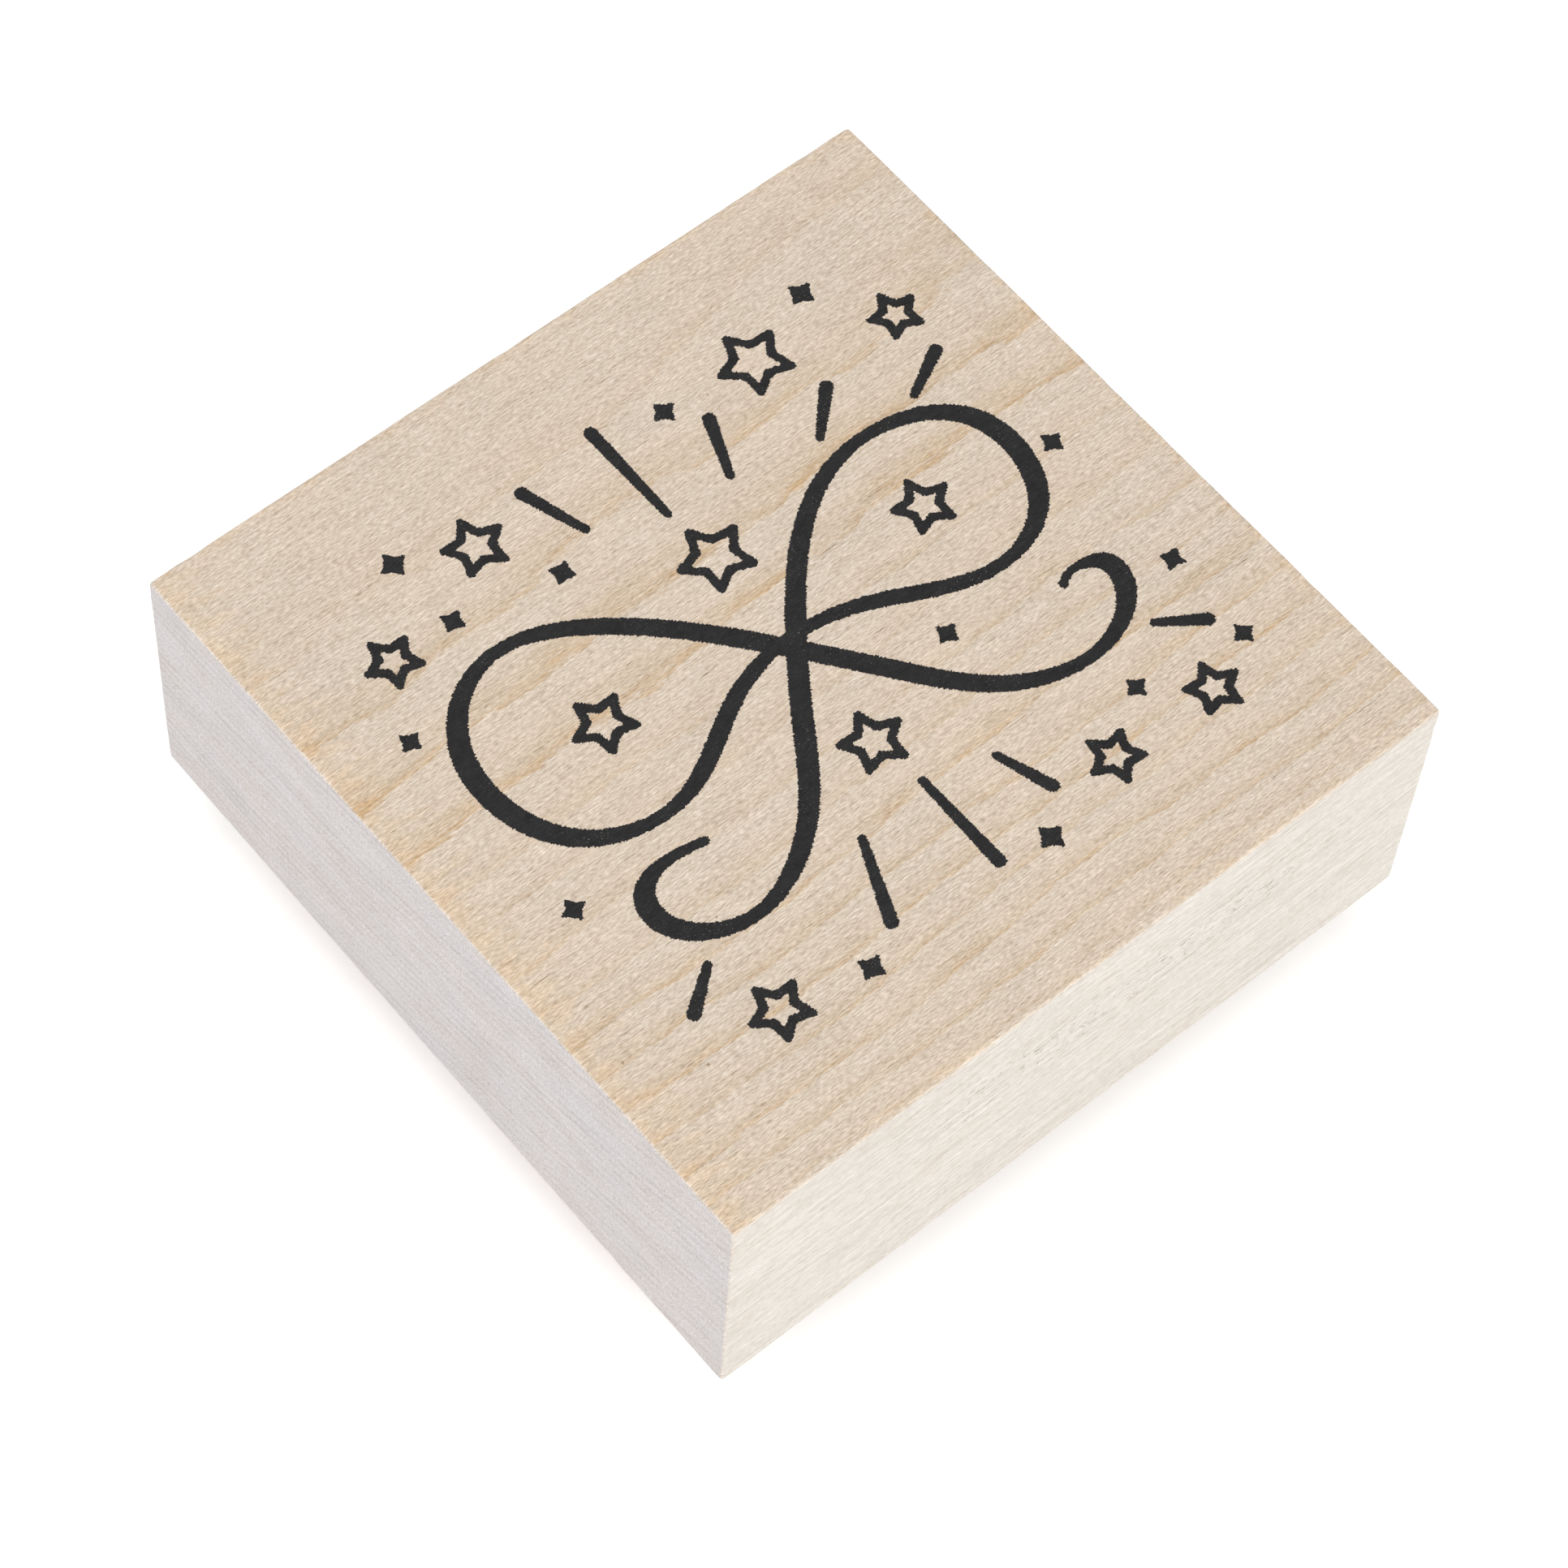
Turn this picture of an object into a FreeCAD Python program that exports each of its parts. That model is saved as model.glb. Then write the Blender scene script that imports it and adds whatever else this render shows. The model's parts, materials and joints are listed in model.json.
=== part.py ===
import FreeCAD, Part
import math
import os

# A wood-mounted rubber stamp. It stands on its printing face: the origin is the
# middle of the block's footprint, on the plane that meets the paper. X runs
# along the wood's grain, Y up the index picture and Z up to the hand. The
# layers, from the paper up, are the rubber die, an adhesive film, the foam
# cushion, a second adhesive film and the hardwood block with its index print.

# ---- driving dimensions, mm ------------------------------------------------
BLOCK_SIDE = 63.5        # a 2 1/2 inch square mount
BLOCK_HEIGHT = 24.0
EDGE_EASE = 0.3          # sanded arris all round the block
DIE_RELIEF = 1.2         # how far the printing lines stand off the die's floor
DIE_FLOOR = 1.2
FILM = 0.1               # each adhesive film
FOAM = 3.2
INK_DEPTH = 0.08         # how far the index print has soaked into the wood
TRIM_WIDTH = 56.4        # die and foam, cut to one outline round the picture
TRIM_DEPTH = 51.0
TRIM_CORNER = 7.0

# ---- the picture's pen ------------------------------------------------------
PEN_THICK = 1.7          # ribbon where the pen runs up and down
PEN_THIN = 0.95          # ribbon where the pen runs across
PEN_TIP = 0.7            # ribbon's two ends
PEN_TAPER = 5.0          # length over which the ribbon narrows to a tip
PEN_SWELL = 1.1          # how late in a turn the ribbon thickens
RAY_INNER = 0.68         # a ray's width at its inner end
RAY_OUTER = 1.05         # and at its outer end

# ---- the picture's stars; rounds are shares of a star's radius ---------------
STAR_POINTS = 5
STAR_LINE = 0.82         # width of the line that draws a star
STAR_WAIST = 0.52        # valley radius over tip radius
STAR_TIP_ROUND = 0.10
STAR_VALLEY_ROUND = 0.22
OPENING_SETBACK = 1.75   # how many line widths the open middle's tips stand in
OPENING_WAIST = 0.53
OPENING_TIP_ROUND = 0.05
OPENING_VALLEY_ROUND = 0.16
SPARKLE_POINTS = 4
SPARKLE_WAIST = 0.56
SPARKLE_TIP_ROUND = 0.10
SPARKLE_VALLEY_ROUND = 0.45

RIBBON_SPANS = 8         # the ribbon is cut into spans that don't cross themselves
SPAN_STEPS = 12

# ---- layer heights, from the paper up --------------------------------------
DIE_TOP = DIE_RELIEF + DIE_FLOOR
FOAM_BOTTOM = DIE_TOP + FILM
FOAM_TOP = FOAM_BOTTOM + FOAM
BLOCK_BOTTOM = FOAM_TOP + FILM
BLOCK_TOP = BLOCK_BOTTOM + BLOCK_HEIGHT

# ---- the picture: a ribbon bow in one stroke, with stars, sparkles, rays ----
# Control points of the ribbon's centre line: left tail, right loop, left loop,
# right tail.
RIBBON = [
    (-14.6, -8.0), (-20.0, -6.6), (-22.6, -11.4), (-15.6, -16.0), (-7.6, -11.6), (-3.4, -4.8),
    (0.6, 0.6), (6.2, 7.4), (14.0, 11.4), (23.8, 8.2), (22.8, -2.4), (14.4, -5.0), (6.8, -0.2),
    (0.0, 1.2), (-6.6, -0.4), (-13.4, -6.0), (-23.2, -3.2), (-25.0, 8.4), (-16.2, 14.6),
    (-6.4, 7.6), (-0.4, 0.2), (4.2, -5.6), (8.8, -11.8), (16.4, -14.4), (22.8, -10.8),
    (21.6, -6.4), (18.0, -7.8),
]

# x, y, radius to a tip, turn in degrees
STARS = [
    (-12.2, 20.0, 2.9, -10), (13.0, 20.0, 3.4, 8), (-22.4, 16.2, 2.6, 12), (-14.2, 3.4, 2.9, 14),
    (14.6, 3.2, 2.8, -8), (0.4, 9.0, 3.4, 5), (-0.6, -9.2, 3.0, -12), (-18.8, -21.0, 2.8, 10),
    (20.6, -20.6, 2.6, -16), (11.6, -20.4, 2.6, 20), (23.6, 16.8, 2.5, -4),
]
SPARKLES = [
    (-17.6, 22.4, 1.2, 5), (-17.2, 16.2, 1.05, 30), (5.2, 20.6, 1.1, 10), (19.4, 22.4, 1.2, 20),
    (-8.8, 14.6, 1.1, 40), (-24.8, -6.6, 1.05, 0), (25.2, 1.6, 1.05, 15), (-12.0, -22.4, 1.15, 25),
    (16.4, -17.2, 1.0, 8), (25.4, -11.0, 1.05, 35), (4.0, -22.4, 1.2, 12), (-25.4, 10.4, 1.0, 20),
    (9.0, -5.8, 1.05, 18), (25.2, -18.6, 1.0, 5),
]
# direction in degrees from the middle, distance to the inner end, to the outer end
RAYS = [
    (90, 13.8, 22.4), (68, 14.6, 19.6), (108, 17.2, 22.6), (44, 17.4, 21.8), (28, 22.8, 27.0),
    (-90, 13.6, 21.6), (-71, 16.2, 20.6), (-113, 15.8, 22.4), (-143, 25.6, 29.4),
    (-34, 25.2, 29.0),
]


def rounded_face(corners, radii):
    """A flat face whose straight sides meet in tangent arcs, at z = 0."""
    edges = []
    count = len(corners)
    previous_end = None
    first_start = None
    for index in range(count):
        corner = corners[index]
        towards_last = (corners[index - 1] - corner).normalize()
        towards_next = (corners[(index + 1) % count] - corner).normalize()
        half_angle = towards_last.getAngle(towards_next) / 2.0
        setback = radii[index] / math.tan(half_angle)
        inward = (towards_last + towards_next).normalize()
        centre = corner + inward * (radii[index] / math.sin(half_angle))
        start = corner + towards_last * setback
        end = corner + towards_next * setback
        middle = centre - inward * radii[index]
        if previous_end is None:
            first_start = start
        else:
            edges.append(Part.LineSegment(previous_end, start).toShape())
        edges.append(Part.Arc(start, middle, end).toShape())
        previous_end = end
    edges.append(Part.LineSegment(previous_end, first_start).toShape())
    return Part.Face(Part.Wire(edges))


def star_face(x, y, radius, turn, points, waist, tip_round, valley_round):
    """A star with tips at radius and valleys at radius times waist, both rounded."""
    corners = []
    radii = []
    for index in range(2 * points):
        is_tip = index % 2 == 0
        reach = radius if is_tip else radius * waist
        angle = math.radians(90 + turn) + index * math.pi / points
        corners.append(FreeCAD.Vector(x + reach * math.cos(angle), y + reach * math.sin(angle), 0))
        radii.append(radius * (tip_round if is_tip else valley_round))
    return rounded_face(corners, radii)


def outline_star(x, y, radius, turn):
    """A five-pointed star drawn as a line, with an open middle."""
    outside = star_face(x, y, radius, turn, STAR_POINTS, STAR_WAIST, STAR_TIP_ROUND, STAR_VALLEY_ROUND)
    opening_radius = radius - OPENING_SETBACK * STAR_LINE
    opening = star_face(
        x, y, opening_radius, turn, STAR_POINTS, OPENING_WAIST, OPENING_TIP_ROUND, OPENING_VALLEY_ROUND
    )
    return outside.cut(opening).Faces[0]


def sparkle(x, y, radius, turn):
    """A small solid four-pointed star."""
    return star_face(
        x, y, radius, turn, SPARKLE_POINTS, SPARKLE_WAIST, SPARKLE_TIP_ROUND, SPARKLE_VALLEY_ROUND
    )


def ray(angle_deg, inner_reach, outer_reach):
    """A round-ended stroke that widens outwards, along a line through the middle."""
    direction = FreeCAD.Vector(math.cos(math.radians(angle_deg)), math.sin(math.radians(angle_deg)), 0)
    side = FreeCAD.Vector(-direction.y, direction.x, 0)
    inner_radius = RAY_INNER / 2.0
    outer_radius = RAY_OUTER / 2.0
    inner = direction * inner_reach
    outer = direction * outer_reach
    lean = math.asin((outer_radius - inner_radius) / (outer_reach - inner_reach))
    left = side * math.cos(lean) - direction * math.sin(lean)
    right = side * -math.cos(lean) - direction * math.sin(lean)
    inner_left = inner + left * inner_radius
    inner_right = inner + right * inner_radius
    outer_left = outer + left * outer_radius
    outer_right = outer + right * outer_radius
    edges = [
        Part.LineSegment(inner_left, outer_left).toShape(),
        Part.Arc(outer_left, outer + direction * outer_radius, outer_right).toShape(),
        Part.LineSegment(outer_right, inner_right).toShape(),
        Part.Arc(inner_right, inner - direction * inner_radius, inner_left).toShape(),
    ]
    return Part.Face(Part.Wire(edges))


def pen_width(tangent, to_end):
    """The ribbon's width for the pen's direction and the distance to the nearer end."""
    width = PEN_THIN + (PEN_THICK - PEN_THIN) * abs(tangent.y) ** PEN_SWELL
    reach = min(to_end / PEN_TAPER, 1.0)
    smooth_step = reach * reach * (3.0 - 2.0 * reach)
    return PEN_TIP + (width - PEN_TIP) * smooth_step


def ribbon_spans():
    """The ribbon as faces that share their ends, each free of crossings."""
    centre_line = Part.BSplineCurve()
    centre_line.buildFromPoles([FreeCAD.Vector(x, y, 0) for x, y in RIBBON], False, 3)
    length = centre_line.length()
    steps = RIBBON_SPANS * SPAN_STEPS
    left = []
    right = []
    tips = []
    for step in range(steps + 1):
        along = length * step / steps
        parameter = centre_line.parameterAtDistance(along, centre_line.FirstParameter)
        point = centre_line.value(parameter)
        tangent = centre_line.tangent(parameter)[0]
        side = FreeCAD.Vector(-tangent.y, tangent.x, 0)
        half_width = pen_width(tangent, min(along, length - along)) / 2.0
        left.append(point + side * half_width)
        right.append(point - side * half_width)
        if step == 0:
            tips.append(point - tangent * half_width)
        if step == steps:
            tips.append(point + tangent * half_width)
    faces = []
    for span in range(RIBBON_SPANS):
        first = span * SPAN_STEPS
        last = first + SPAN_STEPS
        left_edge = Part.BSplineCurve()
        left_edge.interpolate(left[first:last + 1])
        right_edge = Part.BSplineCurve()
        right_edge.interpolate(right[first:last + 1])
        start = Part.LineSegment(right[first], left[first])
        finish = Part.LineSegment(left[last], right[last])
        if first == 0:
            start = Part.Arc(right[first], tips[0], left[first])
        if last == steps:
            finish = Part.Arc(left[last], tips[1], right[last])
        edges = [start.toShape(), left_edge.toShape(), finish.toShape(), right_edge.toShape()]
        faces.append(Part.Face(Part.Wire(edges)))
    return faces


def trim_face():
    """The outline that the die, the foam and their films are cut to, at z = 0."""
    half_width = TRIM_WIDTH / 2.0
    half_depth = TRIM_DEPTH / 2.0
    corners = [
        FreeCAD.Vector(half_width, half_depth, 0),
        FreeCAD.Vector(-half_width, half_depth, 0),
        FreeCAD.Vector(-half_width, -half_depth, 0),
        FreeCAD.Vector(half_width, -half_depth, 0),
    ]
    return rounded_face(corners, [TRIM_CORNER] * len(corners))


def raise_face(face, bottom, top):
    """A straight-walled solid on a flat face."""
    lifted = face.copy()
    lifted.translate(FreeCAD.Vector(0, 0, bottom))
    return lifted.extrude(FreeCAD.Vector(0, 0, top - bottom))


def raise_ribbon(bottom, top):
    """The whole ribbon as one solid."""
    spans = [raise_face(face, bottom, top) for face in ribbon_spans()]
    return spans[0].multiFuse(spans[1:]).removeSplitter()


def motif_faces():
    """Each repeated motif's faces, by the name of its index node."""
    return {
        "index_stars": [outline_star(*star) for star in STARS],
        "index_sparkles": [sparkle(*spark) for spark in SPARKLES],
        "index_rays": [ray(*stroke) for stroke in RAYS],
    }


def rubber_die():
    """The moulded die: a floor with the whole picture standing off it."""
    floor = raise_face(trim_face(), DIE_RELIEF, DIE_TOP)
    relief = [raise_ribbon(0.0, DIE_RELIEF)]
    for faces in motif_faces().values():
        for face in faces:
            relief.append(raise_face(face, 0.0, DIE_RELIEF))
    return floor.multiFuse(relief).removeSplitter()


def index_print():
    """The soaked-in ink of the index picture, by node name, flush with the block's top."""
    bottom = BLOCK_TOP - INK_DEPTH
    prints = {"index_flourish": raise_ribbon(bottom, BLOCK_TOP)}
    for name, faces in motif_faces().items():
        prints[name] = Part.makeCompound([raise_face(face, bottom, BLOCK_TOP) for face in faces])
    return prints


def wood_block(prints):
    """The eased hardwood block, without the wood that the ink has filled."""
    corner = FreeCAD.Vector(-BLOCK_SIDE / 2.0, -BLOCK_SIDE / 2.0, BLOCK_BOTTOM)
    block = Part.makeBox(BLOCK_SIDE, BLOCK_SIDE, BLOCK_HEIGHT, corner)
    block = block.makeFillet(EDGE_EASE, block.Edges)
    inked = []
    for shape in prints.values():
        inked.extend(shape.Solids)
    return block.cut(inked)


def one_solid(shape):
    """The only solid of a shape that must hold exactly one."""
    if len(shape.Solids) != 1:
        raise ValueError("expected one solid, found %d" % len(shape.Solids))
    return shape.Solids[0]


def build():
    """Every node's shape, by node name."""
    prints = index_print()
    nodes = {
        "rubber_die": one_solid(rubber_die()),
        "die_adhesive": raise_face(trim_face(), DIE_TOP, FOAM_BOTTOM),
        "foam_cushion": raise_face(trim_face(), FOAM_BOTTOM, FOAM_TOP),
        "block_adhesive": raise_face(trim_face(), FOAM_TOP, BLOCK_BOTTOM),
        "wood_block": one_solid(wood_block(prints)),
    }
    nodes.update(prints)
    return nodes


def main():
    os.makedirs("parts", exist_ok=True)
    for name, shape in build().items():
        if not shape.isValid():
            raise ValueError(name + " is not a valid shape")
        shape.exportStep("parts/" + name + ".step")
        print(name, "solids", len(shape.Solids), "volume_mm3", round(shape.Volume, 2))


main()
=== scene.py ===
"""A wood-mounted rubber stamp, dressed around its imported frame.

A square maple block carries the index print on its top. Under it lie an adhesive film, a
foam cushion, a second film and the moulded rubber die. Fields and names that end in _mm
and every size on a part class are in millimetres; finished meshes are in metres.
"""

import json
import logging
import math
from collections.abc import Callable, Mapping, Sequence
from dataclasses import dataclass
from enum import Enum
from typing import Any

import bpy
import numpy as np
from mathutils import Matrix, Vector, noise
from mathutils.geometry import delaunay_2d_cdt


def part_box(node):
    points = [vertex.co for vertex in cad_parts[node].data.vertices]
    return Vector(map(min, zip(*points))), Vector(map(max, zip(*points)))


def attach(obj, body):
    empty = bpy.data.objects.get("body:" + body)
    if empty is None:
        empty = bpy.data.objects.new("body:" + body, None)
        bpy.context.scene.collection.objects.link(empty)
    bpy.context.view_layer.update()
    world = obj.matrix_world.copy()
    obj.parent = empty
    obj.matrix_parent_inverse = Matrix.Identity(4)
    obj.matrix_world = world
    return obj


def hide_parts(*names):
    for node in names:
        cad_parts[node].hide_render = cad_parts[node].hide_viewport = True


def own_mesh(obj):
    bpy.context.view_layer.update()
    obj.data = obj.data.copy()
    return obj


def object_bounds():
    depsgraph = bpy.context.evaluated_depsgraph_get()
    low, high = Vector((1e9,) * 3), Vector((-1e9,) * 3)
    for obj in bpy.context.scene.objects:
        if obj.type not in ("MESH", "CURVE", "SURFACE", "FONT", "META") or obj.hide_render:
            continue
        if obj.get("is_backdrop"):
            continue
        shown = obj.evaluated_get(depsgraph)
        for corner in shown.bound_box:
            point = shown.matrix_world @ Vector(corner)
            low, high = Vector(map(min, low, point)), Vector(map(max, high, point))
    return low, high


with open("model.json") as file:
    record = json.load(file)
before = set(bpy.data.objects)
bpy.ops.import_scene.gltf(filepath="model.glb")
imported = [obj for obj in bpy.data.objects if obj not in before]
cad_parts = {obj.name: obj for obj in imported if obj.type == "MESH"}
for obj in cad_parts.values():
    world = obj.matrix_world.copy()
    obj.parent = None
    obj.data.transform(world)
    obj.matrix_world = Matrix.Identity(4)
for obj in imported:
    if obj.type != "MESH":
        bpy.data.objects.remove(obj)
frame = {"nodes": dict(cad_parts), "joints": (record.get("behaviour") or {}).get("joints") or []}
CAD_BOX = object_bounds()

LOG = logging.getLogger("stamp")
MM = 0.001

# How much a noise's finer octaves count, and what brings its 0 to 1 to about -1 to 1.
OCTAVE_SHARE = 0.55
NOISE_MIDDLE = 0.5
NOISE_GAIN = 3.0

# Heights closer than this count as one, and so do plan places that agree to these decimals.
LEVEL_GAP = 1e-3
WELD_DECIMALS = 4

FEWEST_POINTS = 8
TINY = 1e-9

Triple = tuple[float, float, float]
Span = tuple[float, float]


class Body(Enum):
    """The two bodies that the press joint keeps apart."""

    BLOCK = "block"
    DIE = "die"


class WoodMask(Enum):
    """Attributes that tell the maple finish how its surface was cut."""

    END_GRAIN = "end_grain"
    SANDED_TOP = "sanded_top"
    ARRIS = "arris"


# ---- node trees written as Python -------------------------------------------


class Wire:
    """A node's output socket that takes part in Python arithmetic."""

    def __init__(self, graph: "Graph", socket: bpy.types.NodeSocket) -> None:
        """Hold a socket of a graph's node."""
        self.graph = graph
        self.socket = socket

    def also(self, outlet: int | str) -> "Wire":
        """Another output of the same node."""
        return Wire(self.graph, self.socket.node.outputs[outlet])

    def _sum(self, operation: str, first: Any, second: Any) -> "Wire":
        """Join two operands with one Math or Vector Math node.

        Args:
            operation: the node's operation.
            first: a wire, a number or a tuple.
            second: a wire, a number or a tuple.

        Returns:
            The result's wire.
        """
        kinds = [term.socket.type for term in (first, second) if isinstance(term, Wire)]
        is_vector = any(kind in ("VECTOR", "RGBA") for kind in kinds)
        is_vector = is_vector or isinstance(first, tuple) or isinstance(second, tuple)
        kind = "ShaderNodeVectorMath" if is_vector else "ShaderNodeMath"
        return self.graph.node(kind, {"operation": operation}, {0: first, 1: second})

    def __add__(self, other: Any) -> "Wire":
        """This plus the other."""
        return self._sum("ADD", self, other)

    def __radd__(self, other: Any) -> "Wire":
        """The other plus this."""
        return self._sum("ADD", other, self)

    def __sub__(self, other: Any) -> "Wire":
        """This less the other."""
        return self._sum("SUBTRACT", self, other)

    def __rsub__(self, other: Any) -> "Wire":
        """The other less this."""
        return self._sum("SUBTRACT", other, self)

    def __mul__(self, other: Any) -> "Wire":
        """This times the other."""
        return self._sum("MULTIPLY", self, other)

    def __rmul__(self, other: Any) -> "Wire":
        """The other times this."""
        return self._sum("MULTIPLY", other, self)

    def __truediv__(self, other: Any) -> "Wire":
        """This over the other."""
        return self._sum("DIVIDE", self, other)

    def lifted(self, floor: float) -> "Wire":
        """This share, squeezed so that its 0 becomes the floor and its 1 stays."""
        return floor + (1.0 - floor) * self


class Graph:
    """A node tree that is built by calls and expressions."""

    def __init__(self, tree: bpy.types.NodeTree) -> None:
        """Write into a tree."""
        self.tree = tree

    def _feed(self, socket: bpy.types.NodeSocket, value: Any) -> None:
        """Link a wire to an input, or set the input's own value.

        Args:
            socket: the input.
            value: a wire, a number, a tuple or a data-block.
        """
        if isinstance(value, Wire):
            self.tree.links.new(value.socket, socket)
        elif socket.type == "RGBA":
            socket.default_value = (*value, 1.0)
        elif socket.type == "VECTOR" and isinstance(value, (int, float)):
            socket.default_value = (value, value, value)
        else:
            socket.default_value = value

    def node(
        self,
        kind: str,
        settings: Mapping[str, Any] | None = None,
        inputs: Mapping[int | str, Any] | None = None,
        outlet: int | str = 0,
    ) -> Wire | None:
        """Add any node.

        Args:
            kind: the node's type.
            settings: its properties, which are set first.
            inputs: a wire or a value for each input, by name or index; a list feeds one
                input with several wires.
            outlet: the output to return.

        Returns:
            The wire of that output, or None for a node that has none.
        """
        made = self.tree.nodes.new(kind)
        for name, value in (settings or {}).items():
            setattr(made, name, value)
        for key, value in (inputs or {}).items():
            for single in value if isinstance(value, list) else [value]:
                self._feed(made.inputs[key], single)
        return Wire(self, made.outputs[outlet]) if made.outputs else None

    def maths(self, operation: str, *terms: Any) -> Wire:
        """One Math node on numbers."""
        return self.node("ShaderNodeMath", {"operation": operation}, dict(enumerate(terms)))

    def vectors(self, operation: str, *terms: Any) -> Wire:
        """One Vector Math node."""
        return self.node("ShaderNodeVectorMath", {"operation": operation}, dict(enumerate(terms)))

    def vector(self, **parts: Wire) -> Wire:
        """A vector from its X, Y and Z; a part that isn't given is 0."""
        return self.node("ShaderNodeCombineXYZ", None, parts)

    def axes(self, point: Wire) -> tuple[Wire, Wire, Wire]:
        """A vector's X, Y and Z."""
        x = self.node("ShaderNodeSeparateXYZ", None, {0: point})
        return x, x.also("Y"), x.also("Z")

    def moved(self, shape: Wire, offset: Wire) -> Wire:
        """A geometry whose points are moved."""
        return self.node("GeometryNodeSetPosition", None, {"Geometry": shape, "Offset": offset})

    def dots(self, point: Wire, gap_mm: float) -> Wire:
        """Distance to the nearest of scattered dots, as a share of the gap between them."""
        return self.node("ShaderNodeTexVoronoi", None, {"Vector": point / gap_mm, "Scale": 1.0})

    def ranged(
        self, value: Any, low: float, high: float, to_low: float = 0.0, to_high: float = 1.0
    ) -> Wire:
        """A value's smooth climb between two levels.

        Args:
            value: the value.
            low: where the climb starts.
            high: where it ends.
            to_low: the result up to low.
            to_high: the result from high on.

        Returns:
            The result's wire.
        """
        return self.node(
            "ShaderNodeMapRange",
            {"interpolation_type": "SMOOTHSTEP"},
            {"Value": value, "From Min": low, "From Max": high, "To Min": to_low, "To Max": to_high},
        )

    def mixed(self, factor: Any, first: Any, second: Any) -> Wire:
        """Two colours mixed by a factor."""
        return self.node("ShaderNodeMix", {"data_type": "RGBA"}, {0: factor, 6: first, 7: second}, 2)

    def grain(self, point: Wire, cell_mm: Triple, detail: float = 1.0) -> Wire:
        """Smooth noise around zero, about -1 to 1.

        Args:
            point: the place, in millimetres.
            cell_mm: the noise's grain size along each axis.
            detail: finer octaves.

        Returns:
            The noise's wire.
        """
        inputs = {"Vector": point / cell_mm, "Scale": 1.0, "Detail": detail, "Roughness": OCTAVE_SHARE}
        return (self.node("ShaderNodeTexNoise", None, inputs) - NOISE_MIDDLE) * NOISE_GAIN


# ---- finishes ----------------------------------------------------------------


@dataclass(frozen=True)
class Layer:
    """One noise of a finish, about -1 to 1, or 0 to 1 where it has a span.

    The span holds the two levels between which the noise climbs from nothing to full marks.
    """

    cell: Triple
    detail: float = 1.0
    shift: float = 0.0
    span: Span | None = None
    share: float = 1.0

    def on(self, point: Wire) -> Wire:
        """The layer at a point, before its share is taken."""
        plain = point.graph.grain(point + self.shift, self.cell, self.detail)
        return point.graph.ranged(plain, *self.span) if self.span else plain


@dataclass(frozen=True)
class WoodLayer(Layer):
    """A layer of the wood, with its strength on the top, the long sides and the ends."""

    top: float = 0.0
    sides: float = 0.0
    ends: float = 0.0

    def weight(self, faces: Mapping[str, Wire]) -> Wire:
        """The layer's strength on the face at hand, from each face's mask."""
        terms = [faces[name] * getattr(self, name) for name in faces if getattr(self, name)]
        return sum(terms[1:], terms[0])


@dataclass(frozen=True)
class Finish:
    """A procedural surface on one Principled shader."""

    name: str
    specular: float = 0.5
    bump_strength: float = 0.3
    bump_depth: float = 0.02

    def inputs(self, point: Wire) -> dict[str, Any]:
        """The shader's inputs; each kind of finish gives its own."""
        raise NotImplementedError

    def bump(self, height: Wire) -> Wire:
        """The surface's normal over fine hills of a height."""
        sizes = {"Strength": self.bump_strength, "Distance": self.bump_depth * MM, "Height": height}
        return height.graph.node("ShaderNodeBump", None, sizes)

    def material(self) -> bpy.types.Material:
        """Build the finish's material, or find it if it is built.

        Returns:
            The material.
        """
        known = bpy.data.materials.get(self.name)
        if known:
            return known
        made = bpy.data.materials.new(self.name)
        made.use_nodes = True
        made.node_tree.nodes.clear()
        graph = Graph(made.node_tree)
        place = graph.node("ShaderNodeTexCoord", outlet="Object")
        given = {"Specular IOR Level": self.specular, **self.inputs(place * (1.0 / MM))}
        shader = graph.node("ShaderNodeBsdfPrincipled", None, given)
        graph.node("ShaderNodeOutputMaterial", None, {"Surface": shader})
        return made


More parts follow.
